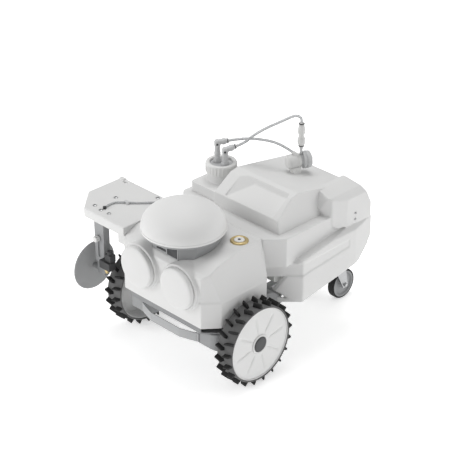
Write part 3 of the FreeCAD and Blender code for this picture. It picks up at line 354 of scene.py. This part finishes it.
def lathe(form, profile, axis, centre, segments=64, soft=0.0):
    """Adds a turned form. The profile is (radius, height) in millimetres; height runs along the axis."""
    if soft:
        profile = rounded_profile(profile, soft)
    side, up, along = AXES[axis] if isinstance(axis, str) else axis
    centre = Vector(centre) * MM
    rings = []
    for radius, height in profile:
        if radius < 1e-6:
            rings.append([form.verts.new(centre + along * height * MM)])
            continue
        turns = [2 * math.pi * number / segments for number in range(segments)]
        rings.append([form.verts.new(centre + along * height * MM
                                     + (side * math.cos(turn) + up * math.sin(turn)) * radius * MM)
                      for turn in turns])
    for low, high in zip(rings, rings[1:]):
        for number in range(segments):
            after = (number + 1) % segments
            if len(low) == 1 and len(high) == 1:
                continue
            if len(low) == 1:
                form.faces.new((low[0], high[number], high[after]))
            elif len(high) == 1:
                form.faces.new((low[number], high[0], low[after]))
            else:
                form.faces.new((low[number], high[number], high[after], low[after]))
    return form


def turned_piece(name, body, finish, nodes, profile, axis, centre, segments=64, soft=0.0, smooth=35):
    return piece_from(lathe(bmesh.new(), profile, axis, centre, segments, soft), name, body, finish, nodes,
                      smooth)


def block(low, high, edge=1.5):
    """A box with bevelled edges, from its two corners in millimetres."""
    form = bmesh.new()
    bmesh.ops.create_cube(form, size=1)
    low, high = Vector(low) * MM, Vector(high) * MM
    for point in form.verts:
        point.co = Vector([low[i] + (point.co[i] + 0.5) * (high[i] - low[i]) for i in range(3)])
    bmesh.ops.bevel(form, geom=form.edges[:], offset=edge * MM, segments=3, profile=0.5, affect="EDGES")
    return form


def merged(*forms):
    """Several bmeshes as one."""
    whole = bmesh.new()
    for form in forms:
        mesh = bpy.data.meshes.new("part")
        form.to_mesh(mesh)
        form.free()
        whole.from_mesh(mesh)
        bpy.data.meshes.remove(mesh)
    return whole


def both(points):
    """A plan outline from its left half, front to rear."""
    return points + [(-x, y) for x, y in reversed(points)]


# Front shell ------------------------------------------------------------------------------------
def rod_tool(radius, start, end, axis, centre, segments=96):
    return loose(lathe(bmesh.new(), [(0, start), (radius, start), (radius, end), (0, end)], axis, centre,
                       segments))


COVER_X, COVER_Z = 85, 311


def front_shell():
    plan = both([(163, -137), (201, -92), (201, 92)])
    side = [(-137, 200), (92, 200), (92, 404), (0, 406), (-80, 391), (-124, 374), (-137, 362)]
    front = [(-201, 200), (201, 200), (201, 286), (172, 412), (-172, 412), (-201, 286)]
    body = loose(carve((-201, -137, 200), (201, 92, 410), ("XY", plan), ("YZ", side), ("XZ", front)))
    band = loose(carve((-203, -139, 200), (203, 92, 284), ("XY", both([(164, -139), (203, -93), (203, 92)]))))
    collars = [rod_tool(72, -150, -86, "Y", (side_sign * COVER_X, 0, COVER_Z)) for side_sign in (-1, 1)]
    room = loose(carve((-196, -132, 190), (196, 99, 398),
                       ("XY", both([(160, -132), (196, -89), (196, 99)])),
                       ("YZ", [(-132, 190), (99, 190), (99, 399), (0, 401), (-78, 386), (-121, 369),
                               (-132, 358)]),
                       ("XZ", [(-196, 190), (196, 190), (196, 286), (167, 407), (-167, 407), (-196, 286)])))
    bores = [rod_tool(57, -151, -90, "Y", (side_sign * COVER_X, 0, COVER_Z)) for side_sign in (-1, 1)]
    strip = loose(carve((-58, -142, 379), (29, -110, 396)))
    form = blended(body, adds=[band] + collars, cuts=[room, strip] + bores, voxel=2.2, rounds=7, keep=0.3)
    return piece_from(form, "front_shell_soft", "machine", "shell_white", ("front_shell",), 50)


def front_cover(side, label):
    """Round cover: a slightly crowned face with a rounded rim."""
    profile = [(0, -167.9), (30, -167.6), (52, -166.8), (60, -165.8), (64.4, -163), (65.3, -159),
               (65.3, -151.4), (63.4, -150.6), (56.8, -150.2), (56.8, -141)]
    return turned_piece(f"front_cover_{label}_soft", "machine", "shell_white", (f"front_cover_{label}",),
                        profile,
                        "Y", (side * COVER_X, 0, COVER_Z), 96, 2.0, 50)


front_shell()
front_cover(1, "left")
front_cover(-1, "right")


# Antenna ----------------------------------------------------------------------------------------
ANTENNA = (0, -48, 0)


def antenna():
    crown = [(0, 519.8)]
    shoulder, radius, height = 58.0, 126.8, 79.6
    big = ((radius - shoulder) ** 2 + height ** 2 - shoulder ** 2) / (2 * (height - shoulder))
    slope = math.atan2(big - height, radius - shoulder)
    for number in range(1, 15):
        turn = math.pi / 2 - (math.pi / 2 - slope) * number / 14
        crown.append((big * math.cos(turn), 440.2 + height - big + big * math.sin(turn)))
    for number in range(1, 11):
        turn = 0.08 + (slope - 0.08) * (1 - number / 10)
        crown.append((radius - shoulder + shoulder * math.cos(turn) - 0.8, 440.2 + shoulder * math.sin(turn)))
    crown += [(125.4, 443.6), (125.4, 442.8), (126.9, 442.4), (126.9, 436.8), (126.2, 436.1),
              (123.5, 436.1), (123.5, 437)]
    turned_piece("antenna_dome_soft", "machine", "dome_white", ("antenna_dome",), crown, "Z", ANTENNA, 144)
    softened("antenna_base", "machine", "base_grey", voxel=1.7, rounds=3, keep=0.5)


def antenna_front():
    """Grey panel on the plinth's flat front with a framed window and a slit."""
    panel = block((-56, -122.2, 376), (56, -120.4, 424), 0.5)
    face = piece_from(panel, "antenna_panel", "machine", "base_grey")
    frame_form = merged(block((5, -123.0, 376), (55, -121.2, 379), 0.6),
                        block((5, -123.0, 412), (55, -121.2, 415), 0.6),
                        block((5, -123.0, 376), (8, -121.2, 415), 0.6),
                        block((52, -123.0, 376), (55, -121.2, 415), 0.6))
    piece_from(frame_form, "window_frame", "machine", "light_grey")
    piece_from(block((8.5, -122.5, 379), (51.5, -120.8, 412), 0.5), "window_pane", "machine", "window_glass",
               ("antenna_window",))
    piece_from(block((-36, -122.9, 383.5), (3, -121.6, 391.5), 0.5), "slit_pane", "machine", "dark_plastic")
    return face


antenna()
antenna_front()


# Power button -----------------------------------------------------------------------------------
BUTTON = (132, 48, 0)


def button():
    """Brass ring, pale cap and a dark dot; only the cap and the dot move."""
    centre = BUTTON
    ring = [(16.6, 404), (16.6, 409.0), (18.5, 410.2), (24.5, 410.0), (27.2, 408.0), (27.4, 400), (16.6, 400)]
    turned_piece("bezel_soft", "machine", "brass", ("button_bezel",), ring, "Z", centre, 72, 0.8)
    cap = lathe(bmesh.new(), [(0, 410.4), (7, 410.4), (8, 411.0), (14.2, 410.8), (15.8, 409.4), (15.9, 391),
                              (0, 391)],
                "Z", centre, 64, 0.6)
    piece_from(cap, "button_cap", "button", "button_white", ("power_button",))
    dot = lathe(bmesh.new(), [(0, 411.0), (4.2, 411.0), (4.6, 410.6), (4.6, 410.2), (0, 410.2)], "Z",
                centre, 40)
    piece_from(dot, "button_dot", "button", "dark_plastic")


button()


# Rear hull, hood and filler neck ----------------------------------------------------------------
def hull():
    """Two tiers joined by a sloping shoulder, a band pressed into the lower one, and the raised module."""
    upper_plan = both([(171, 104), (219, 156), (219, 515)])
    upper = loose(carve((-219, 104, 290), (219, 508, 402), ("XY", upper_plan),
                        ("YZ", [(104, 300), (300, 312), (508, 325), (508, 402), (104, 402)])))
    lower_plan = [(149, 104), (246, 201), (246, 432), (232, 515)]
    lower_side = [(104, 180), (201, 180), (431, 217), (454, 223), (494, 256), (515, 285), (515, 356),
                  (300, 362), (214, 356), (196, 322), (104, 309)]
    lower_front = [(-246, 170), (246, 170), (246, 338), (213, 370), (-213, 370), (-246, 338)]
    lower = loose(carve((-246, 104, 170), (246, 515, 370), ("XY", both(lower_plan)), ("YZ", lower_side),
                        ("XZ", lower_front)))
    band = [(104, 268), (201, 269), (405, 287), (405, 326), (201, 311), (104, 309)]
    band_room = loose(carve((-260, 90, 250), (260, 405, 345), ("YZ", band)))
    band_core = loose(carve((-250, 100, 250), (250, 410, 345),
                            ("YZ", [(y + dy, z + dz) for (y, z), (dy, dz) in zip(
        band, ((4, -2), (0, -2), (4, -2), (4, 2), (0, 2), (4, 2)))]),
        ("XY", both([(146, 106.5), (243.2, 203.7), (243.2, 432), (230, 512)]))))
    arch = loose(carve((-260, 90, 165), (260, 205, 233), ("YZ", [(90, 165), (90, 232), (118, 231), (140, 223),
                                                                (158, 206), (175, 189), (201, 180),
                                                                (204, 165)])))
    module = loose(carve((150, 318, 340), (235, 508, 474),
                         ("YZ", [(326, 424), (351, 367), (369, 356), (508, 354), (508, 400), (480, 455),
                                 (470, 474),
                                 (344, 474), (334, 450)]),
                         ("XZ", [(150, 330), (235, 330), (235, 445), (218, 462), (170, 474), (150, 474)]),
                         ("XY", [(150, 318), (176, 318), (222, 346), (235, 400), (235, 510), (150, 510)])))
    wedge = loose(carve((-250, 300, 340), (-150, 520, 420),
                        ("YZ", [(300, 402), (520, 344), (520, 420), (300, 420)])))
    room = loose(carve((-236, 114, 120), (236, 504, 320), ("XY", both([(142, 114), (236, 208), (236, 428),
                                                                       (223, 504)])),
                       ("YZ", [(114, 120), (504, 120), (504, 320), (300, 316), (114, 300)])))
    form = blended(upper, adds=[lower], cuts=[band_room], voxel=0)
    form = blended(loose(form), adds=[band_core, module], cuts=[arch, wedge, room], voxel=2.3, rounds=4,
                   keep=0.35)
    return piece_from(form, "rear_hull_soft", "machine", "hull_white", ("rear_hull",), 50)


def hood():
    """Sloping cover with a framed recess in its front slope, deepest at the top edge."""
    side = [(157, 400), (160, 443), (226, 489), (258, 494.5), (480, 455), (506, 400)]
    front = [(-89, 400), (188, 400), (165, 496), (-84, 496)]
    body = loose(carve((-89, 157, 400), (188, 506, 496), ("YZ", side), ("XZ", front)))
    recess = bmesh.new()
    for spot in ((-44, 164, 441), (150, 164, 441), (141, 237, 474.5), (8, 237, 474.5), (-51, 163, 470),
                 (155, 163, 470), (153, 246, 505), (-42, 246, 505)):
        recess.verts.new(Vector(spot) * MM)
    bmesh.ops.convex_hull(recess, input=recess.verts)
    room = loose(carve((-84, 163, 380), (182, 498, 484),
                       ("YZ", [(163, 380), (163, 430), (224, 464), (258, 472), (474, 446), (500, 380)]),
                       ("XZ", [(-84, 380), (182, 380), (160, 490), (-80, 490)])))
    form = blended(body, cuts=[room, loose(recess)], voxel=1.6, rounds=3, keep=0.35)
    return piece_from(form, "tank_hood_soft", "machine", "hull_white", ("tank_hood",), 50)


def seam():
    """Inner neck that closes the gap between the front shell and the rear hull."""
    form = carve((-190, 86, 206), (190, 108, 402), ("XZ", [(-188, 206), (188, 206), (188, 286), (166, 401.5),
                                                         (-166, 401.5), (-188, 286)]))
    bmesh.ops.bevel(form, geom=form.edges[:], offset=3 * MM, segments=3, profile=0.5, affect="EDGES")
    piece_from(form, "seam_neck", "machine", "hull_white")


hull()
seam()
hood()
softened("filler_neck", "machine", voxel=2.0, rounds=5, keep=0.4)


# Cap and elbows ---------------------------------------------------------------------------------
CAP = (-146, 247, 0)


def cap():
    ring = [(44.1, 462.3), (47, 462.3), (47.6, 464.5), (47.6, 490.5), (46, 493.6), (38, 493.8),
            (35.5, 492), (35.2, 487.0), (43.4, 486.9), (43.4, 481.2), (44.1, 481.2), (44.1, 462.3)]
    form = lathe(bmesh.new(), ring, "Z", CAP, 112, 0.5)
    count = 28
    for number in range(count):
        turn = 2 * math.pi * number / count
        spot = (CAP[0] + 47.2 * math.cos(turn), CAP[1] + 47.2 * math.sin(turn), 0)
        form = merged(form, lathe(bmesh.new(), [(0, 464), (1.7, 464.6), (1.7, 489), (0, 490.4)], "Z", spot,
                                  10))
    piece_from(form, "cap_ring", "cap", "knob_white", ("cap_collar",))
    insert = [(0, 485.6), (30, 485.6), (31, 486), (42.4, 486), (42.4, 480.9), (43.9, 480.9),
              (43.9, 478.1), (0, 478.1)]
    turned_piece("cap_insert_soft", "machine", "fitting_grey", ("cap_insert",), insert, "Z", CAP, 80, 0.6)


def heading_axes(turn, rise=0.0):
    """Side, up and along vectors of an axis given by heading and rise in degrees."""
    turn, rise = math.radians(turn), math.radians(rise)
    along = Vector((math.cos(turn) * math.cos(rise), math.sin(turn) * math.cos(rise), math.sin(rise)))
    side = Vector((-math.sin(turn), math.cos(turn), 0))
    return side, along.cross(side), along


def elbow(name, x, height, foot, rise):
    """Push-in elbow: hexagon nut, ribbed body, corner ball and an outlet collar with a dark release ring."""
    spot = (x, 247, 0)
    parts = [lathe(bmesh.new(), [(0, 486.1), (12, 486.1), (13, 487.2), (13, 495.6), (12, 496.8),
                                 (0, 496.8)], "Z", spot, 6)]
    parts.append(lathe(bmesh.new(), [(0, 496), (9.4, 496), (9.4, 502), (8.2, 503), (8.2, 509), (9.8, 510),
                                     (9.8, 518),
                                     (8.6, 519), (8.6, height - 12), (9.9, height - 10), (9.9, height + 2),
                                     (8, height + 6.8), (0, height + 8)], "Z", spot, 40, 0.8))
    axes = heading_axes(63, rise)
    parts.append(lathe(bmesh.new(), [(0, 0), (8.6, 0), (8.6, 15), (9.9, 16.4), (9.9, 23), (8.4, 24.4),
                                     (8.4, 27.6),
                                     (6.9, 28), (6.9, 34.6), (5.8, 36.6), (4.1, 36.9), (0, 36.9)], axes,
                       (x, 247, height), 40, 0.6))
    parts.append(lathe(bmesh.new(), [(0, foot), (4.95, foot), (4.95, 486.5), (0, 486.5)], "Z", spot, 24))
    piece_from(merged(*parts), name + "_soft", "machine", "fitting_grey", (name,))
    ring = lathe(bmesh.new(), [(5.0, 30.5), (7.6, 30.5), (7.6, 32.5), (5.0, 32.5), (5.0, 30.5)], axes,
                 (x, 247, height), 40, 0.4)
    piece_from(ring, name + "_ring", "machine", "dark_plastic")
    stud = lathe(bmesh.new(), [(0, 7.8), (3.4, 7.8), (3.4, 11), (2.6, 11.6), (0, 11.6)], heading_axes(-45),
                 (x, 247, height - 4), 24)
    piece_from(stud, name + "_stud", "machine", "dark_plastic")


cap()
elbow("elbow_feed", -163, 551, 240, 0)
elbow("elbow_return", -129, 537, 460, 12)


# Pump and valve ---------------------------------------------------------------------------------
PUMP = (38, 400, 508)


def pump():
    axes = heading_axes(65)
    can = [(0, -43.8), (14, -43.8), (15, -42.6), (19, -42), (21.8, -38), (21.8, -14), (21.2, -13.4),
           (21.2, -11.6), (21.8, -11), (21.8, -2), (20, -1.5), (0, -1.5)]
    parts = [lathe(bmesh.new(), can, axes, PUMP, 72, 0.8)]
    parts.append(block((25, 369, 462), (51, 393, 494), 2))
    spigot_axis = heading_axes(24.6, -27.7)
    parts.append(lathe(bmesh.new(), [(0, 0.1), (5.6, 0.1), (5.9, 1), (5.9, 21), (0, 21)], spigot_axis,
                       (24, 381, 537), 32))
    piece_from(merged(*parts), "pump_soft", "machine", "valve_plastic", ("pump_body",))
    head = [(0, -1.0), (18.8, -1.0), (18.8, 6.5), (26.8, 7.2), (26.8, 13), (24.6, 13.8), (24.6, 16.4),
            (26.8, 17.2), (26.8, 24), (25.6, 24.6), (25.6, 30), (23.8, 31.8), (0, 31.8)]
    form = merged(lathe(bmesh.new(), head, axes, PUMP, 72, 0.7),
                  lathe(bmesh.new(), [(0, 520), (4, 520), (4, 546), (5.4, 546.6), (5.4, 552.8), (0, 552.8)],
                        "Z",
                        (39.3, 402.7, 0), 36, 0.3))
    piece_from(form, "pump_head_soft", "machine", "fitting_grey", ("pump_flange",))
    bolts = bmesh.new()
    side, up = axes[:2]
    for number in range(6):
        turn = 2 * math.pi * (number + 0.5) / 6
        spot = Vector(PUMP) + (side * math.cos(turn) + up * math.sin(turn)) * 19.4
        lathe(bolts, [(0, 31.4), (1.9, 31.4), (1.9, 33.4), (1.4, 33.8), (0, 33.8)], axes, spot, 16)
    piece_from(bolts, "pump_bolts", "machine", "dark_plastic")


def valve():
    low = 553
    profile = [(0, low), (7.5, low), (7.5, low + 6), (10, low + 8), (11.8, low + 15), (11.8, low + 27),
               (8, low + 33), (7.6, low + 40), (11.2, low + 46), (11.2, low + 58), (8.6, low + 70),
               (6.4, low + 73), (6.2, low + 80.9), (0, low + 80.9)]
    turned_piece("valve_soft", "machine", "valve_plastic", ("check_valve",), profile, "Z", (39.3, 402.7, 0),
                 56, 2.0)
    rings = bmesh.new()
    for z in (low + 2, low + 75):
        lathe(rings, [(6.0, z), (8.4, z), (8.8, z + 0.7), (8.8, z + 2.1), (8.4, z + 2.8), (6.0, z + 2.8),
                      (6.0, z)],
              "Z", (39.3, 402.7, 0), 48)
    piece_from(rings, "valve_rings", "machine", "dark_plastic")


pump()
valve()


# Wheels -----------------------------------------------------------------------------------------
LUGS = 21


def tyre(side, label):
    """Grey carcass and two staggered rows of slanted black lugs."""
    centre = (0, 0, 134)
    inner, outer = side * 210.4, side * 269.6
    shell = [(115.1, inner), (118.6, inner), (120, inner + side * 2), (119.6, side * 240),
             (120, outer - side * 2), (118.6, outer), (115.1, outer), (115.1, inner)]
    turned_piece(f"tyre_{label}_carcass", f"wheel_{label}", "tyre_black", (f"tyre_{label}",), shell, "X",
                 centre, 126, 0.6)
    bpy.data.objects[f"tyre_{label}_carcass"].data.materials[0] = TREAD_GREY
    lugs = bmesh.new()
    for start, end, stagger, slant in ((211.5, 238.0, 0.0, 1), (242.0, 268.5, 0.5, -1)):
        for number in range(LUGS):
            turn = Matrix.Rotation(2 * math.pi * (number + stagger) / LUGS, 3, "X")
            corners = []
            for radius, half in ((119.2, 4.6), (133.6, 2.5)):
                inset = 1.2 if radius > 125 else 0
                for x, shift in ((start + inset, -3.2 * slant), (end - inset, 3.2 * slant)):
                    for edge in (-half, half):
                        drop = math.sqrt(radius ** 2 - (shift + edge) ** 2)
                        spot = turn @ Vector((side * x, shift + edge, -drop))
                        corners.append(lugs.verts.new((spot + Vector((0, 0, 134))) * MM))
            for face in ((0, 1, 3, 2), (4, 6, 7, 5), (0, 2, 6, 4), (1, 5, 7, 3), (0, 4, 5, 1), (2, 3, 7, 6)):
                lugs.faces.new([corners[index] for index in face])
    bmesh.ops.bevel(lugs, geom=lugs.edges[:], offset=0.7 * MM, segments=2, profile=0.5, affect="EDGES")
    piece_from(lugs, f"tyre_{label}_lugs", f"wheel_{label}", "tyre_black")


def wheel_disc(side, label):
    """White disc with eight soft radial creases, a raised hub ring and a barrel rim behind it."""
    form = bmesh.new()
    rings, spokes = 30, 192
    grid = []
    for ring in range(rings + 1):
        radius = 31 + (111.5 - 31) * ring / rings
        row = []
        for spoke in range(spokes):
            turn = 2 * math.pi * spoke / spokes
            away = abs((math.degrees(turn) + 11) % 45 - 22.5)
            along = (radius - 31) / 80.5
            crease = math.exp(-(away / (3.4 - 1.2 * along)) ** 2) * min(1, along * 5, (0.88 - along) * 6)
            x = 265.0 + 1.2 * math.sin(math.pi * along) - 3.2 * max(0, crease)
            row.append(form.verts.new(Vector((side * x, radius * math.cos(turn),
                                              134 + radius * math.sin(turn))) * MM))
        grid.append(row)
    for low, high in zip(grid, grid[1:]):
        for spoke in range(spokes):
            after = (spoke + 1) % spokes
            form.faces.new((low[spoke], high[spoke], high[after], low[after]))
    centre = (0, 0, 134)
    outer = [(111.5, 265.6), (112.6, 267.4), (114.2, 267.8), (114.95, 266.5), (114.95, 214.5),
             (111.6, 214.5), (111.6, 261.5), (30, 261.5), (22, 218.5), (10.05, 218.5)]
    hub = [(31, 265.6), (29.6, 268.0), (27, 268.6), (24.6, 268.0), (24.5, 262.6), (10.05, 262.6)]
    for profile in (outer, hub):
        lathe(form, rounded_profile([(radius, side * x) for radius, x in profile], 1.0), "X", centre, spokes)
    bmesh.ops.remove_doubles(form, verts=form.verts, dist=2e-5)
    piece_from(form, f"wheel_disc_{label}_soft", f"wheel_{label}", "wheel_white", (f"wheel_disc_{label}",),
               40)
    cap_profile = [(0, 270.9), (12, 270.8), (20.5, 270.2), (23.4, 268.4), (23.8, 262.7), (0, 262.7)]
    turned_piece(f"hub_cap_{label}_soft", f"wheel_{label}", "hub_grey", (f"hub_cap_{label}",),
                 [(radius, side * x) for radius, x in cap_profile], "X", centre, 64, 1.2)
    rim_line = [(114.6, 267.6), (116.6, 269.2), (118.4, 269.5), (118.4, 266.5), (114.6, 266.5),
                (114.6, 267.6)]
    turned_piece(f"bead_{label}", f"wheel_{label}", "dark_plastic", (),
                 [(radius, side * x) for radius, x in rim_line],
                 "X", centre, 128, 0.5)


for side_sign, side_label in ((1, "left"), (-1, "right")):
    tyre(side_sign, side_label)
    wheel_disc(side_sign, side_label)


# Chassis, bumper and castors --------------------------------------------------------------------
for side_label in ("left", "right"):
    softened(f"drive_pod_{side_label}", "machine", voxel=1.8, rounds=6, keep=0.35)
softened("chassis_pan", "machine", voxel=2.2, rounds=2, keep=0.3)
softened("front_bumper", "machine", voxel=1.2, rounds=3, keep=0.4)


def castor(side, label):
    """Rubber tread on a grey wheel with a bearing boss, and the bolt's head and nut."""
    centre = (0, 532, 50)
    middle = side * 104
    tread = [(44.1, -12), (48, -12), (49.8, -9.5), (50, 0), (49.8, 9.5), (48, 12), (44.1, 12), (44.1, -12)]
    turned_piece(f"castor_tread_{label}", f"castor_roller_{label}", "tyre_black", (f"castor_tyre_{label}",),
                 [(radius, middle + x) for radius, x in tread], "X", centre, 96, 1.2)
    wheel = [(4.1, -13.8), (11.8, -13.8), (12.6, -12), (14, -6), (36, -4.8), (40, -11.4), (44, -11.8),
             (44, 11.8), (40, 11.4), (36, 4.8), (14, 6), (12.6, 12), (11.8, 13.8), (4.1, 13.8),
             (4.1, -13.8)]
    turned_piece(f"castor_hub_{label}", f"castor_roller_{label}", "base_grey", (f"castor_wheel_{label}",),
                 [(radius, middle + x) for radius, x in wheel], "X", centre, 96, 1.0)
    bolt = lathe(bmesh.new(), [(0, middle - 24.5), (6.4, middle - 24.5), (6.9, middle - 23.6),
                               (6.9, middle - 19.1),
                               (3.9, middle - 19.0), (3.9, middle + 19.0), (6.9, middle + 19.1),
                               (6.9, middle + 23.6),
                               (6.4, middle + 24.5), (0, middle + 24.5)], "X", centre, 6)
    piece_from(bolt, f"castor_bolt_{label}", f"castor_fork_{label}_body", "steel",
               (f"castor_axle_{label}",), 30)


for side_sign, side_label in ((1, "left"), (-1, "right")):
    castor(side_sign, side_label)


# Outrigger --------------------------------------------------------------------------------------
softened("outrigger_plate", "machine", voxel=1.6, rounds=5, keep=0.35)
PLATE_SCREWS = [(-330, -22), (-336, -100), (-301, -106), (-267, -104), (-238, 67)]


def socket_screw(form, spot, axis, height, radius=4.6, tall=2.4):
    """A domed head with a round socket."""
    lathe(form, [(0, height + tall * 0.35), (radius * 0.42, height + tall * 0.35),
                 (radius * 0.45, height + tall),
                 (radius * 0.75, height + tall), (radius, height + tall * 0.55), (radius, height),
                 (0, height)],
          axis, spot, 24)
    return form


def outrigger_details():
    heads = bmesh.new()
    for x, y in PLATE_SCREWS:
        socket_screw(heads, (x, y, 0), "Z", 398.05, 6.4)
        lathe(heads, [(0, 389), (2.4, 389), (2.4, 398.2), (0, 398.2)], "Z", (x, y, 0), 16)
    piece_from(heads, "plate_screw_heads", "machine", "steel", ("plate_screws",))
    fittings = bmesh.new()
    for x, y in ((-300, -92), (-205, 56)):
        lathe(fittings, [(0, 398.05), (6, 398.05), (6, 400), (5, 400.6), (5, 403), (5.8, 403.6), (5.8, 405),
                         (0, 405)],
              "Z", (x, y, 0), 6)
        lathe(fittings, [(0, 393.2), (2.4, 393.2), (2.4, 398.2), (0, 398.2)], "Z", (x, y, 0), 16)
    piece_from(fittings, "plate_fitting_soft", "machine", "dark_plastic", ("plate_fitting",))


def post():
    """Slotted square tube with softly rounded corners."""
    return softened("spray_post", "machine", voxel=1.1, rounds=2, keep=0.4)


def knob():
    form = bmesh.new()
    lathe(form, [(0, -134), (7, -134), (8.4, -132.6), (8.4, -119), (6.4, -117.6), (0, -117.6)], "Y",
          (-304, 0, 306), 48, 0.8)
    lathe(form, [(0, -117.8), (3.9, -117.8), (3.9, -105.2), (0, -105.2)], "Y", (-304, 0, 306), 24)
    for number in range(9):
        turn = 2 * math.pi * number / 9
        spot = (-304 + 8.0 * math.cos(turn), 0, 306 + 8.0 * math.sin(turn))
        lathe(form, [(0, -133.4), (1.7, -132.8), (1.7, -119.4), (0, -118.8)], "Y", spot, 12)
    piece_from(form, "knob_soft", "knob", "knob_white", ("height_knob",))


def spray_head():
    disc = [(4.08, -2), (78.8, -2), (80.3, -0.8), (80.3, 0.8), (78.8, 2), (14, 2), (12, -0.5), (12, 2),
            (4.08, 2)]
    face = [(4.08, 1.95), (78.8, 1.95), (80.3, 0.7), (80.3, -0.7), (78.8, -1.95), (13, -1.95),
            (11.9, -4.9), (4.08, -4.9), (4.08, 1.95)]
    made = turned_piece("spray_disc_soft", "disc", "disc_grey", ("spray_disc",),
                        [(r, -345 + x) for r, x in face], "X",
                        (0, -105, 192), 128, 0.5)
    screw = bmesh.new()
    lathe(screw, [(0, -354.4), (6, -354.4), (7.8, -352.6), (7.8, -350.5), (3.98, -350.4)], "X",
          (0, -105, 192), 40, 0.6)
    piece_from(screw, "disc_screw_soft", "carriage", "steel", ("disc_screw",))
    return made, disc


outrigger_details()
post()
knob()
spray_head()
for small in ("nozzle_carrier", "spray_valve"):
    softened(small, "machine", voxel=0.9, rounds=3, keep=0.4)


def module_screws():
    heads = bmesh.new()
    for y, z in ((437, 388), (437, 368)):
        socket_screw(heads, (0, y, z), "X", 235.0, 4.0, 2.2)
        lathe(heads, [(0, 226.5), (2.4, 226.5), (2.4, 235.2), (0, 235.2)], "X", (0, y, z), 16)
    piece_from(heads, "module_screw_heads", "machine", "steel", ("body_screws",))


module_screws()
